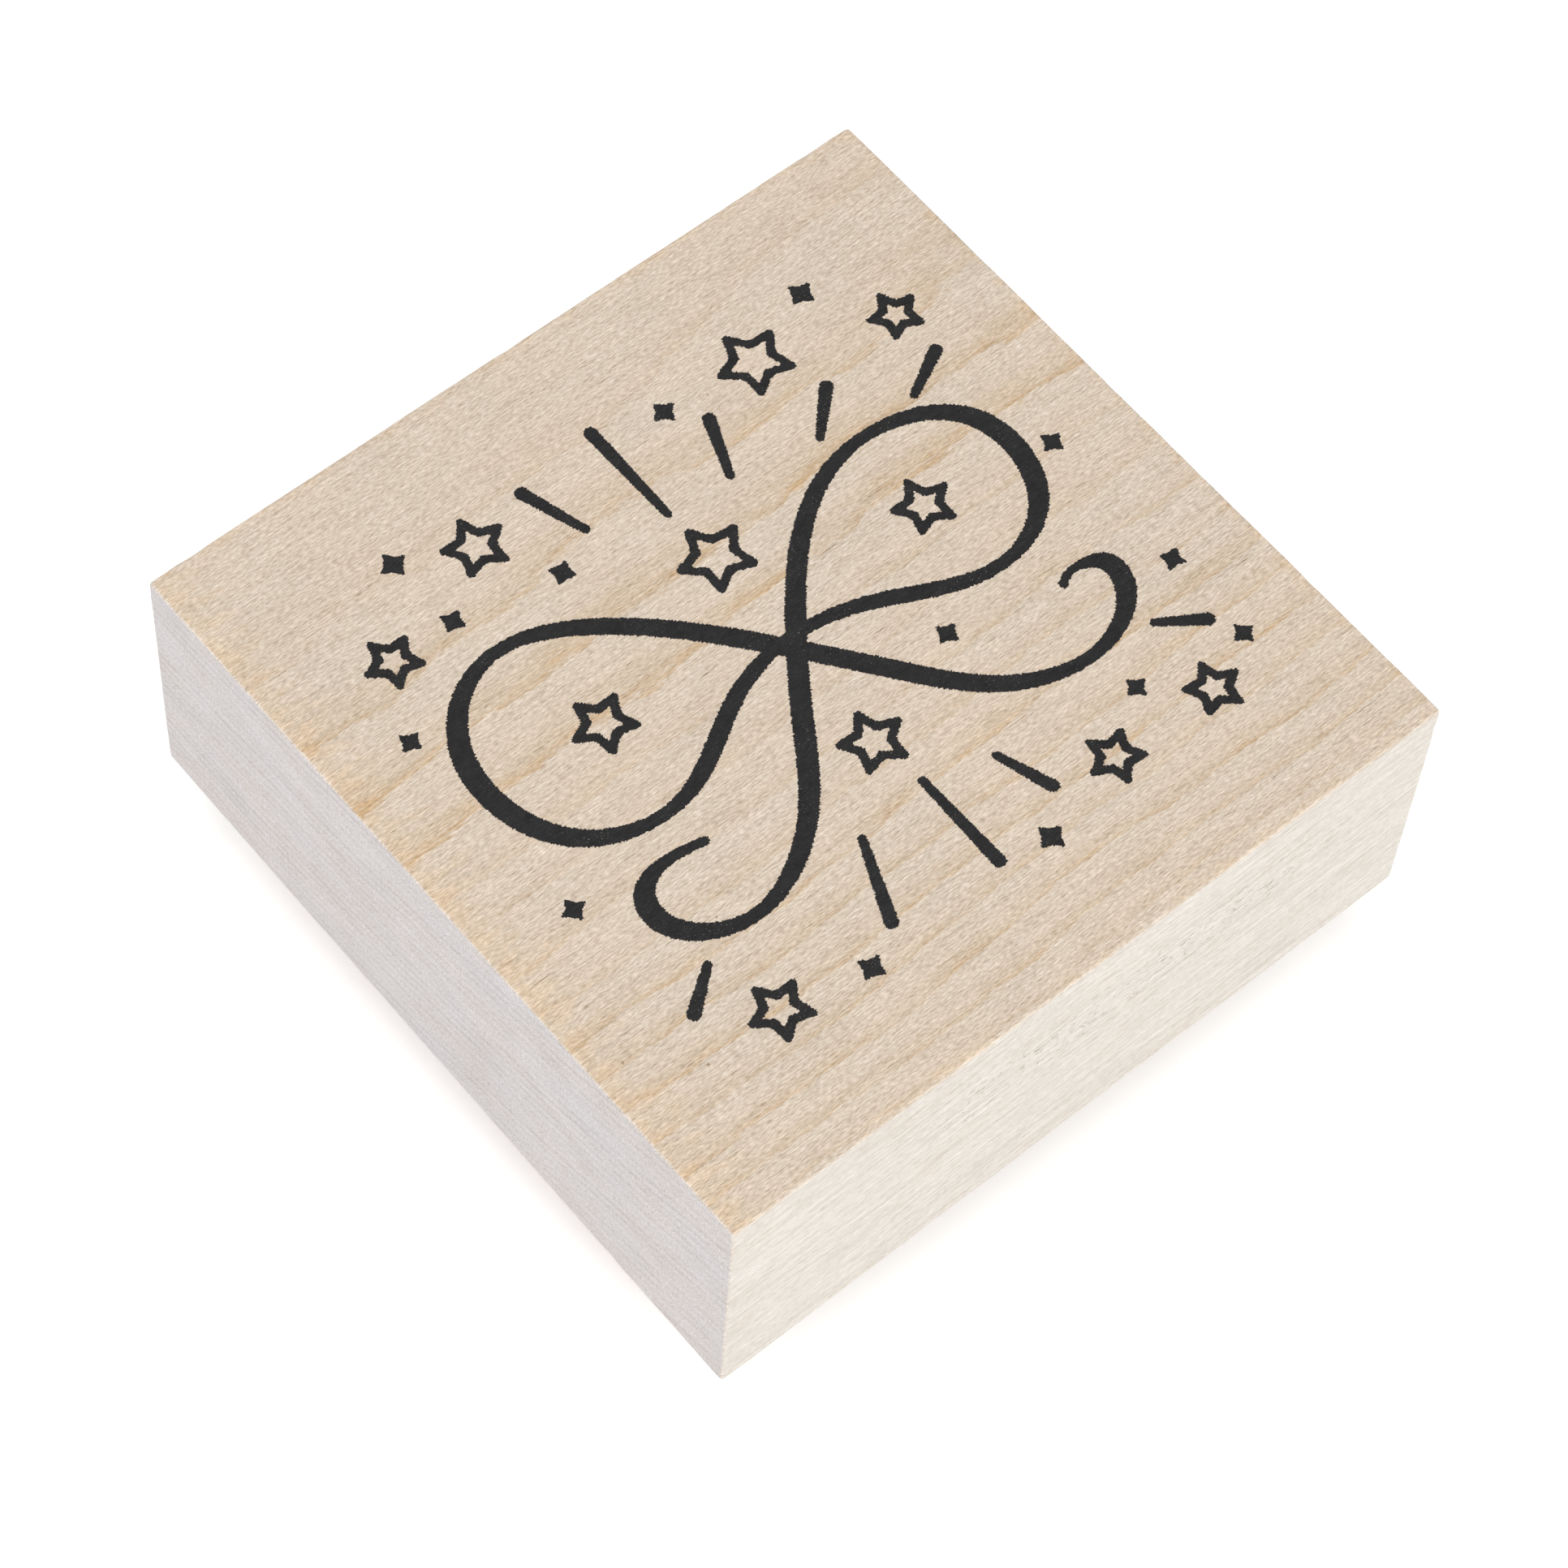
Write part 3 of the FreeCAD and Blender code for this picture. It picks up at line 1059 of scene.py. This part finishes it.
@dataclass(frozen=True)
class TornFibres:
    """Tiny fibres that the saw has left standing along the block's lower edges."""

    count: int = 260
    length: float = 0.42
    thickness: float = 0.040
    corners: int = 5
    inset: float = 0.13
    scatter: float = 0.1
    scatter_low: Triple = (-0.8, -0.8, -0.1)
    scatter_high: Triple = (0.8, 0.8, 0.5)
    lean_low: Triple = (-1.1, -1.1, -1.2)
    lean_high: Triple = (1.1, 1.1, 0.3)
    smallest: float = 0.35
    seed: int = 11

    def tree(self) -> bpy.types.NodeTree:
        """Build the node tree that sets bent-out fibres along an edge.

        Returns:
            The tree.
        """
        kinds = {
            **dict.fromkeys(("Count", "Seed"), "Int"),
            **dict.fromkeys(("Length", "Thickness", "Scatter", "Half Side"), "Float"),
        }
        given = opened_tree("torn_fibres", "Edge", kinds, "Fibres")
        graph = given.graph
        edge = graph.node("GeometryNodeMeshToCurve", None, {"Mesh": given})
        spread = {"Curve": edge, "Count": given.also("Count")}
        places = graph.node("GeometryNodeCurveToPoints", {"mode": "COUNT"}, spread)
        scatter = self._random(given, "FLOAT_VECTOR", self.scatter_low, self.scatter_high, 1)
        moved = graph.moved(places, scatter * given.also("Scatter"))
        cone = {
            "Vertices": self.corners,
            "Side Segments": 1,
            "Radius Bottom": given.also("Thickness") * 0.5,
            "Depth": given.also("Length"),
        }
        outward = graph.node("GeometryNodeInputPosition") * (1.0, 1.0, 0.0) / given.also("Half Side")
        lean = self._random(given, "FLOAT_VECTOR", self.lean_low, self.lean_high, 2)
        turning = {"Vector": outward + lean}
        planting = {
            "Points": moved,
            "Instance": graph.node("GeometryNodeMeshCone", None, cone),
            "Rotation": graph.node("FunctionNodeAlignRotationToVector", {"axis": "Z"}, turning),
            "Scale": self._random(given, "FLOAT", self.smallest, 1.0, 3),
        }
        return closed_tree(given, graph.node("GeometryNodeInstanceOnPoints", None, planting))

    @staticmethod
    def _random(given: Wire, kind: str, low: Any, high: Any, offset: int) -> Wire:
        """A random value for each fibre.

        Args:
            given: the wire of the tree's first input.
            kind: the value's data type.
            low: the lowest value.
            high: the highest value.
            offset: added to the seed, so that each draw differs.

        Returns:
            The value's wire.
        """
        number = 0 if kind == "FLOAT_VECTOR" else 2
        inputs = {number: low, number + 1: high, "Seed": given.also("Seed") + float(offset)}
        return given.graph.node("FunctionNodeRandomValue", {"data_type": kind}, inputs, number // 2)

    def make(self) -> bpy.types.Object:
        """Make the fibres round the lower edges of the CAD block's own box.

        Returns:
            The fibres, as one plain mesh.
        """
        low, high = box_mm("wood_block")
        near, far = low + self.inset, high - self.inset
        plan = [(near[0], near[1]), (far[0], near[1]), (far[0], far[1]), (near[0], far[1])]
        points = [(x * MM, y * MM, near[2] * MM) for x, y in plan]
        mesh = bpy.data.meshes.new("torn_fibres")
        mesh.from_pydata(points, [(side, (side + 1) % len(points)) for side in range(len(points))], [])
        sizes = {
            "Count": self.count,
            "Seed": self.seed,
            "Length": self.length * MM,
            "Thickness": self.thickness * MM,
            "Scatter": self.scatter * MM,
            "Half Side": far[0] * MM,
            "Finish": MAPLE.material(),
        }
        return grown(linked("torn_fibres", mesh), self.tree(), sizes)


# ---- the maple block ---------------------------------------------------------------


@dataclass(frozen=True)
class MapleBlock:
    """The hardwood mount: a square block with softened, slightly dented edges."""

    ease: float = 0.26
    station: float = 0.62
    arc_steps: int = 4
    shoulder: Span = (0.12, 0.30)
    mean_wear: float = 0.92
    corner_wear: float = 0.30
    corner_reach: float = 2.2
    wander_cells: Span = (7.0, 1.7)
    wander_shares: Span = (0.5, 0.35)
    wander: float = 0.45
    dent_cell: float = 2.6
    dent_place: Triple = (9.0, 4.0, 1.0)
    dent_rarity: float = 0.34
    dent: float = 1.6
    arris_gain: float = 2.0

    def _stations(self, low: float, high: float) -> np.ndarray:
        """Grid lines along one axis: close together round the edges, even between them.

        Args:
            low: the block's low side on the axis.
            high: its high side.

        Returns:
            The lines' places, in rising order.
        """
        arc = self.ease * np.tan(np.radians(np.linspace(45.0, 0.0, self.arc_steps + 1)))
        first, second = self.shoulder
        start, end = low + self.ease, high - self.ease
        middle = np.linspace(start + second, end - second, round((end - start) / self.station))
        return np.r_[start - arc, start + first, middle, end - first, (end + arc)[::-1]]

    def _worn_ease(self, point: np.ndarray, low: np.ndarray, high: np.ndarray) -> float:
        """The edge's rounding at a point: it wanders, dips and grows at the corners.

        Args:
            point: the place, in millimetres.
            low: the block's lowest corner.
            high: its highest corner.

        Returns:
            The rounding's radius.
        """
        place = Vector(point)
        layers = zip(self.wander_cells, self.wander_shares)
        wander = sum(noise.noise(place / cell) * share for cell, share in layers)
        to_ends = np.sort(np.minimum(point - low, high - point))
        at_corner = max(0.0, 1.0 - to_ends[2] / self.corner_reach)
        dents = noise.noise(place / self.dent_cell + Vector(self.dent_place)) - self.dent_rarity
        wear = self.mean_wear + self.wander * wander + self.corner_wear * at_corner
        return self.ease * (wear + self.dent * max(0.0, dents))

    def make(self) -> bpy.types.Object:
        """Make the block in the CAD block's own box, with masks for its kinds of grain.

        Returns:
            The block.
        """
        low, high = box_mm("wood_block")
        lines = [self._stations(low[axis], high[axis]) for axis in range(3)]
        counts = [len(line) for line in lines]
        ids: dict[tuple[int, int, int], int] = {}
        points = []
        arris = []

        def vertex(key: tuple[int, int, int]) -> int:
            """Find a grid corner on the block's skin, easing it on first use.

            Args:
                key: the corner's place in the grid.

            Returns:
                The vertex's index.
            """
            if key not in ids:
                corner = np.array([lines[axis][key[axis]] for axis in range(3)])
                ease = self._worn_ease(corner, low, high)
                core = np.clip(corner, low + ease, high - ease)
                outward = corner - core
                direction = outward / max(np.linalg.norm(outward), TINY)
                ids[key] = len(points)
                points.append(core + ease * direction)
                arris.append(1.0 - max(abs(direction)) ** 2)
            return ids[key]

        faces = []
        for axis in range(3):
            first, second = (axis + 1) % 3, (axis + 2) % 3
            for side in (0, counts[axis] - 1):
                for i in range(counts[first] - 1):
                    for j in range(counts[second] - 1):
                        ring = []
                        for di, dj in ((0, 0), (1, 0), (1, 1), (0, 1)):
                            key = [0, 0, 0]
                            key[axis], key[first], key[second] = side, i + di, j + dj
                            ring.append(vertex(tuple(key)))
                        faces.append(ring if side else ring[::-1])
        piece = new_piece("maple_block", np.array(points), faces, MAPLE)
        self._mask(piece, np.array(arris))
        return piece

    def _mask(self, piece: bpy.types.Object, arris: np.ndarray) -> None:
        """Write where the wood shows end grain, its sanded top, and its edges.

        Args:
            piece: the block.
            arris: how far each vertex faces off the axes.
        """
        mesh = piece.data
        normals = np.zeros(len(mesh.vertices) * 3, np.float32)
        mesh.vertices.foreach_get("normal", normals)
        normals = normals.reshape(-1, 3)
        masks = {
            WoodMask.END_GRAIN: np.abs(normals[:, 0]) ** 2,
            WoodMask.SANDED_TOP: np.clip(normals[:, 2], 0.0, 1.0) ** 2,
            WoodMask.ARRIS: np.clip(arris * self.arris_gain, 0.0, 1.0),
        }
        for mask, values in masks.items():
            attribute = mesh.attributes.new(mask.value, "FLOAT", "POINT")
            attribute.data.foreach_set("value", values.astype(np.float32))


@dataclass(frozen=True)
class WoodMount:
    """The block and everything that is fixed to it above the cushion."""

    block: MapleBlock = MapleBlock()
    fibres: TornFibres = TornFibres()
    print_depth: float = 0.05
    print_pride: float = 0.010
    print_step: float = 0.042
    bleed_along: float = 0.105
    bleed_across: float = 0.072
    prints: tuple[tuple[str, str], ...] = (
        ("index_bow_print", "index_flourish"),
        ("index_star_prints", "index_stars"),
        ("index_sparkle_prints", "index_sparkles"),
        ("index_ray_prints", "index_rays"),
    )

    def build(self) -> None:
        """Make the block and its index print, and fit them."""
        fit_to_body(self.block.make(), Body.BLOCK, "wood", "wood_block")
        fit_to_body(self.fibres.make(), Body.BLOCK, "wood")
        top = box_mm("wood_block")[1][2]
        levels = top - self.print_depth, top + self.print_pride
        slab = OutlinedSlab(self.print_step, self.bleed_along, self.bleed_across, *levels)
        for name, node in self.prints:
            fit_to_body(slab.make(name, node, INK), Body.BLOCK, "index_ink", node)


# ---- the cushion and its films -----------------------------------------------------


def wall_between(
    loop: np.ndarray, heights: Sequence[float], inset: Callable[[np.ndarray], float]
) -> np.ndarray:
    """Rows of points that climb an outline.

    Args:
        loop: the outline's plan points, turning anticlockwise.
        heights: each row's height.
        inset: how far in from the outline a place stands.

    Returns:
        The points, row after row.
    """
    ahead = np.roll(loop, -1, axis=0) - np.roll(loop, 1, axis=0)
    inward = np.column_stack([-ahead[:, 1], ahead[:, 0]])
    inward /= np.linalg.norm(inward, axis=1)[:, None]
    rows = []
    for height in heights:
        places = np.column_stack([loop, np.full(len(loop), height)])
        depths = np.array([inset(place) for place in places])
        rows.append(places + np.column_stack([inward * depths[:, None], np.zeros(len(loop))]))
    return np.vstack(rows)


def wall_faces(rows: Sequence[Sequence[int]]) -> list[list[int]]:
    """Quads of a wall.

    Args:
        rows: the vertices of each row, climbing; every row turns anticlockwise.

    Returns:
        The faces, turning outwards.
    """
    faces = []
    for lower, upper in zip(rows, rows[1:]):
        for place in range(len(lower)):
            beside = (place + 1) % len(lower)
            faces.append([lower[place], lower[beside], upper[beside], upper[place]])
    return faces


def numbered_rows(first: int, around: int, count: int) -> list[list[int]]:
    """The vertices of a wall's rows, numbered one row after the other."""
    return [list(range(first + row * around, first + (row + 1) * around)) for row in range(count)]


def anticlockwise(loop: np.ndarray) -> np.ndarray:
    """Turn a loop round if it runs clockwise.

    Args:
        loop: its plan points.

    Returns:
        The same points, running anticlockwise.
    """
    after = np.roll(loop, -1, axis=0)
    area = np.sum(loop[:, 0] * after[:, 1] - after[:, 0] * loop[:, 1])
    return loop if area > 0 else loop[::-1]


@dataclass(frozen=True)
class Cushion:
    """The foam and the adhesive films on its two faces."""

    spacing: float = 0.36
    rows: int = 12
    knife_wander: float = 0.10
    knife_cell: float = 9.0
    knife_middle: float = 0.5
    torn_cells: float = 0.10
    cell_size: float = 0.45
    waist: float = 0.10
    waist_power: float = 0.7
    setback: float = 0.03
    cap_angle: float = 50.0
    film_step: float = 0.25
    film_wander: float = 0.05

    def foam(self) -> bpy.types.Object:
        """Make the foam between its films, with a knife-cut edge of opened cells.

        Returns:
            The foam.
        """
        low, high = (corner[2] for corner in box_mm("foam_cushion"))
        loop = anticlockwise(evenly_spaced(flat_outlines("foam_cushion", high)[0], self.spacing))
        heights = np.linspace(low, high, self.rows)

        def inset(place: np.ndarray) -> float:
            """Depth of the cut at a place: the knife's wander, the waist and the cells.

            Args:
                place: the place, in millimetres.

            Returns:
                The depth.
            """
            climb = (place[2] - low) / (high - low)
            stray = noise.noise(Vector((place[0], place[1], 0.0)) / self.knife_cell)
            knife = self.knife_wander * (self.knife_middle + stray)
            inside = 0.0 < climb < 1.0
            bow = self.waist * math.sin(math.pi * climb) ** self.waist_power if inside else 0.0
            cells = self.torn_cells * max(0.0, noise.noise(Vector(place) / self.cell_size))
            return self.setback + knife + bow + cells

        points = wall_between(loop, heights, inset)
        rows = numbered_rows(0, len(loop), self.rows)
        faces = [*wall_faces(rows), rows[0][::-1], rows[-1]]
        piece = new_piece("foam_cushion_cut", points, faces, FOAM)
        piece.data.set_sharp_from_angle(angle=math.radians(self.cap_angle))
        return piece

    def build(self) -> None:
        """Make the foam and both films, and fit them."""
        joint = next(item for item in frame["joints"] if item["name"] == "cushion_press")
        low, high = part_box("foam_cushion")
        foam = fit_to_body(self.foam(), Body.BLOCK, "foam", "foam_cushion")
        kept = 1.0 - joint["range_m"][1] / (high.z - low.z)
        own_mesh(foam)
        for name, node, body in (
            ("block_adhesive_film", "block_adhesive", Body.BLOCK),
            ("die_adhesive_film", "die_adhesive", Body.DIE),
        ):
            levels = (corner[2] for corner in box_mm(node))
            slab = OutlinedSlab(self.film_step, self.film_wander, self.film_wander, *levels)
            fit_to_body(slab.make(name, node, FILM), body, "adhesive", node)


# ---- the rubber die --------------------------------------------------------------------


class ReliefField:
    """Distance from the picture's outlines over a plan grid, negative inside the lines."""

    def __init__(
        self, loops: Sequence[np.ndarray], box: Sequence[np.ndarray], cell: float, reach: float
    ) -> None:
        """Measure the field.

        Args:
            loops: the outlines, in millimetres.
            box: the grid's lowest and highest corners.
            cell: the grid's spacing.
            reach: how far from an outline the distance is true.
        """
        low, high = box
        self.low = low
        self.cell = cell
        self.shape = tuple(np.ceil((high - low) / cell).astype(int) + 1)
        self.values = np.full(self.shape, reach)
        crossings = np.zeros(self.shape, int)
        for loop in loops:
            for start, end in zip(loop, np.roll(loop, -1, axis=0)):
                self._near_segment(start, end, reach)
                self._cross_rows(crossings, start, end)
        inside = np.cumsum(crossings, axis=0) % 2 == 1
        self.values = np.where(inside, -self.values, self.values)

    def _near_segment(self, start: np.ndarray, end: np.ndarray, reach: float) -> None:
        """Lower the distances round one straight stretch of outline.

        Args:
            start: its first point.
            end: its last point.
            reach: how far out to measure.
        """
        lowest = (np.minimum(start, end) - reach - self.low) / self.cell
        highest = (np.maximum(start, end) + reach - self.low) / self.cell
        first = np.maximum(np.floor(lowest).astype(int), 0)
        last = np.minimum(np.ceil(highest).astype(int) + 1, self.shape)
        x = (self.low[0] + self.cell * np.arange(first[0], last[0]))[:, None]
        y = (self.low[1] + self.cell * np.arange(first[1], last[1]))[None, :]
        run = end - start
        share = ((x - start[0]) * run[0] + (y - start[1]) * run[1]) / max(run @ run, TINY)
        share = np.clip(share, 0.0, 1.0)
        distance = np.hypot(x - start[0] - share * run[0], y - start[1] - share * run[1])
        window = self.values[first[0]:last[0], first[1]:last[1]]
        np.minimum(window, distance, out=window)

    def _cross_rows(self, crossings: np.ndarray, start: np.ndarray, end: np.ndarray) -> None:
        """Mark where one stretch of outline crosses the grid's rows.

        Args:
            crossings: the count at each grid corner, which is raised.
            start: the stretch's first point.
            end: its last point.
        """
        if start[1] == end[1]:
            return
        bottom, top = (math.ceil((y - self.low[1]) / self.cell) for y in sorted((start[1], end[1])))
        rows = np.arange(bottom, top)
        heights = self.low[1] + rows * self.cell
        x = start[0] + (heights - start[1]) * (end[0] - start[0]) / (end[1] - start[1])
        columns = np.ceil((x - self.low[0]) / self.cell).astype(int)
        np.add.at(crossings, (columns, rows), 1)

    def contours(self, level: float) -> list[np.ndarray]:
        """Closed lines where the distance has one value.

        Args:
            level: the value.

        Returns:
            The lines' plan points, with the lower side on the left.
        """
        below = self.values < level
        edges = {}
        corners = ((0, 0), (1, 0), (1, 1), (0, 1))
        stacked = [below[dx:dx + self.shape[0] - 1, dy:dy + self.shape[1] - 1] for dx, dy in corners]
        code = sum(mask.astype(int) << bit for bit, mask in enumerate(stacked))
        for i, j in np.argwhere((code > 0) & (code < 15)):
            cell_corners = [(i + dx, j + dy) for dx, dy in corners]
            state = [bool(below[corner]) for corner in cell_corners]
            leaving = []
            entering = []
            for side in range(4):
                ends = side, (side + 1) % 4
                if state[ends[0]] != state[ends[1]]:
                    crossed = tuple(sorted(cell_corners[end] for end in ends))
                    (leaving if state[ends[0]] else entering).append(crossed)
            edges.update(zip(leaving, entering))
        return [self._placed(loop, level) for loop in chained(edges)]

    def _placed(self, loop: list[Any], level: float) -> np.ndarray:
        """Plan points of a loop of grid edges.

        Args:
            loop: the corners of each grid edge that the line crosses.
            level: the distance's value on the line.

        Returns:
            The points, in millimetres.
        """
        places = []
        for first, second in loop:
            low, high = self.values[first], self.values[second]
            share = (level - low) / (high - low)
            corner = np.array(first) + share * (np.array(second) - np.array(first))
            places.append(self.low + self.cell * corner)
        return np.array(places)


def simplified(loop: np.ndarray, step_mm: float) -> np.ndarray:
    """A loop averaged over its neighbours, with points about one step apart and no stairs."""
    smooth = 0.25 * np.roll(loop, 1, axis=0) + 0.5 * loop + 0.25 * np.roll(loop, -1, axis=0)
    return evenly_spaced(smooth, step_mm)


@dataclass(frozen=True)
class RubberDie:
    """The moulded die: a floor, and the picture on drafted shoulders under it."""

    cell: float = 0.05
    outline_step: float = 0.10
    crest_inset: float = 0.05
    crest_lip: float = 0.01
    crest_round: float = 0.03
    draft: float = 0.30
    foot_round: float = 0.14
    foot_rise: float = 0.18
    line_step: float = 0.13
    trim_step: float = 0.35
    trim_margin: float = 0.4
    floor_search: Span = (0.5, 2.0)
    weld: float = 1e-6
    wall_rows: int = 6
    knife_wander: float = 0.08
    knife_cell: float = 5.0
    knife_middle: float = 0.55
    knife_start: float = 0.3
    spare_cells: float = 2.0
    sharp_angle: float = 38.0

    def profile(self, floor: float) -> tuple[tuple[float, float], ...]:
        """Distance out from a printing line, and height, from its crest to the floor."""
        return (
            (-self.crest_inset, 0.0),
            (self.crest_lip, self.crest_round),
            (self.draft, floor - self.foot_rise),
            (self.draft + self.foot_round, floor),
        )

    def floor_height(self) -> float:
        """Height of the die's floor: the flat between the trim and the picture."""
        low, high = self.floor_search
        heights = np.array([vertex.co.z for vertex in frame["nodes"]["rubber_die"].data.vertices]) / MM
        return float(np.median(heights[(heights > low) & (heights < high)]))

    def make(self) -> bpy.types.Object:
        """Make the die as one closed skin.

        Returns:
            The die.
        """
        low, high = box_mm("rubber_die")
        lines = [evenly_spaced(loop, self.outline_step) for loop in flat_outlines("rubber_die", 0.0)]
        trim = anticlockwise(evenly_spaced(flat_outlines("rubber_die", high[2])[0], self.trim_step))
        box = low[:2] - self.trim_margin, high[:2] + self.trim_margin
        reach = self.draft + self.foot_round + self.spare_cells * self.cell
        field = ReliefField(lines, box, self.cell, reach)
        floor = self.floor_height()
        plan = [trim]
        heights = [floor]
        for distance, height in self.profile(floor):
            for loop in field.contours(distance):
                plan.append(simplified(loop, self.line_step))
                heights.append(height)
        return self._skin(plan, heights, high[2])

    def _skin(self, plan: list[np.ndarray], heights: list[float], top: float) -> bpy.types.Object:
        """Join the underside, the trimmed edge and the top into one mesh.

        Args:
            plan: the trim's outline, then every contour of the picture.
            heights: each outline's height; the trim's is the floor's.
            top: the die's top.

        Returns:
            The die.
        """
        floor = heights[0]
        coordinates = [Vector(point) for loop in plan for point in loop]
        level = np.concatenate([np.full(len(loop), height) for loop, height in zip(plan, heights)])
        edges = []
        start = 0
        for loop in plan:
            edges += [(start + i, start + (i + 1) % len(loop)) for i in range(len(loop))]
            start += len(loop)
        around = len(plan[0])
        rim_face = [list(range(around))]
        sheet = delaunay_2d_cdt(coordinates, edges, rim_face, 1, self.weld, True)
        made, _, triangles, origin, _, _ = sheet
        depth = [level[sources[0]] if sources else floor for sources in origin]
        points = [(point.x, point.y, height) for point, height in zip(made, depth)]
        place_of = {sources[0]: index for index, sources in enumerate(origin) if sources}
        rim = [place_of[index] for index in range(around)]
        faces = [list(triangle)[::-1] for triangle in triangles]
        climb = np.linspace(floor, top, self.wall_rows)[1:]

        def inset(place: np.ndarray) -> float:
            """Depth of the knife's cut at a place."""
            opened = min(1.0, (place[2] - floor) / self.knife_start)
            stray = noise.noise(Vector(place) / self.knife_cell)
            return self.knife_wander * opened * (self.knife_middle + stray)

        rows = [rim, *numbered_rows(len(points), around, len(climb))]
        points += [tuple(point) for point in wall_between(plan[0], climb, inset)]
        faces += [*wall_faces(rows), rows[-1]]
        piece = new_piece("rubber_die_moulded", np.array(points), faces, RUBBER)
        piece.data.set_sharp_from_angle(angle=math.radians(self.sharp_angle))
        return piece

    def build(self) -> None:
        """Make the die and fit it."""
        fit_to_body(self.make(), Body.DIE, "die_rubber", "rubber_die")


# ---- the studio ---------------------------------------------------------------------------


@dataclass(frozen=True)
class SoftBox:
    """One rectangular studio light."""

    name: str
    place: Triple
    width: float
    height: float
    power: float
    tint: Triple


@dataclass(frozen=True)
class Studio:
    """The pale sheet, the lights and the camera, in metres."""

    target: Triple = (0.00151, 0.00137, 0.00696)
    distance: float = 0.3714
    elevation: float = 60.34
    heading: float = 44.26
    roll: float = 5.015
    lens: float = 116.53
    sensor: float = 36.0
    clip: Span = (0.01, 10.0)
    sheet_half: float = 2.5
    sheet_drop: float = 0.00002
    ambient: float = 0.44
    aim: Triple = (0.0, 0.0, 0.02)
    lights: tuple[SoftBox, ...] = (
        SoftBox("overhead_box", (-0.05, 0.10, 0.85), 0.9, 0.9, 4.7, (1.0, 0.985, 0.965)),
        SoftBox("front_box", (0.15, -0.80, 0.42), 0.8, 0.5, 4.0, (1.0, 0.985, 0.965)),
        SoftBox("left_box", (-0.75, 0.05, 0.35), 0.6, 0.5, 2.1, (0.95, 0.97, 1.0)),
    )

    def sheet(self) -> None:
        """Lay the sheet just under the printing face."""
        edge = self.sheet_half
        corners = [(-edge, -edge), (edge, -edge), (edge, edge), (-edge, edge)]
        points = np.array([(x / MM, y / MM, -self.sheet_drop / MM) for x, y in corners])
        new_piece("pale_sheet", points, [[0, 1, 2, 3]], PAPER)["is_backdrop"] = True

    def light(self) -> None:
        """Set the soft boxes and the room's own light."""
        for box in self.lights:
            lamp = bpy.data.lights.new(box.name, "AREA")
            lamp.shape = "RECTANGLE"
            lamp.size, lamp.size_y = box.width, box.height
            lamp.energy = box.power
            lamp.color = box.tint
            holder = linked(box.name, lamp)
            holder.location = box.place
            ahead = Vector(self.aim) - holder.location
            holder.rotation_euler = ahead.to_track_quat("-Z", "Y").to_euler()
        world = bpy.data.worlds.new("studio_air")
        world.use_nodes = True
        background = world.node_tree.nodes["Background"]
        background.inputs["Color"].default_value = (1.0, 1.0, 1.0, 1.0)
        background.inputs["Strength"].default_value = self.ambient
        bpy.context.scene.world = world

    def camera(self) -> None:
        """Set the camera at its angle, with its small roll."""
        heading, elevation = math.radians(self.heading), math.radians(self.elevation)
        level = math.cos(elevation)
        ahead = Vector((math.sin(heading) * level, math.cos(heading) * level, -math.sin(elevation)))
        view = ahead.to_track_quat("-Z", "Y").to_matrix().to_4x4()
        place = Matrix.Translation(Vector(self.target) - ahead * self.distance)
        data = bpy.data.cameras.new("studio_camera")
        data.lens = self.lens
        data.sensor_width = self.sensor
        data.clip_start, data.clip_end = self.clip
        holder = linked("studio_camera", data)
        holder.matrix_world = place @ view @ Matrix.Rotation(math.radians(self.roll), 4, "Z")
        bpy.context.scene.camera = holder

    def build(self) -> None:
        """Set up everything that isn't the stamp."""
        self.camera()
        self.sheet()
        self.light()
        bpy.context.scene.view_settings.view_transform = "Standard"


def write_sizes() -> None:
    """Put the CAD box and the visual model's box into plain lists."""
    boxes = {"cad": CAD_BOX, "visual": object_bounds()}
    plain = {name: [list(corner) for corner in box] for name, box in boxes.items()}


def main() -> None:
    """Build the studio and the stamp."""
    logging.basicConfig(level=logging.INFO, format="%(name)s: %(message)s")
    Studio().build()
    WoodMount().build()
    Cushion().build()
    RubberDie().build()
    write_sizes()


if __name__ == "__main__":
    main()
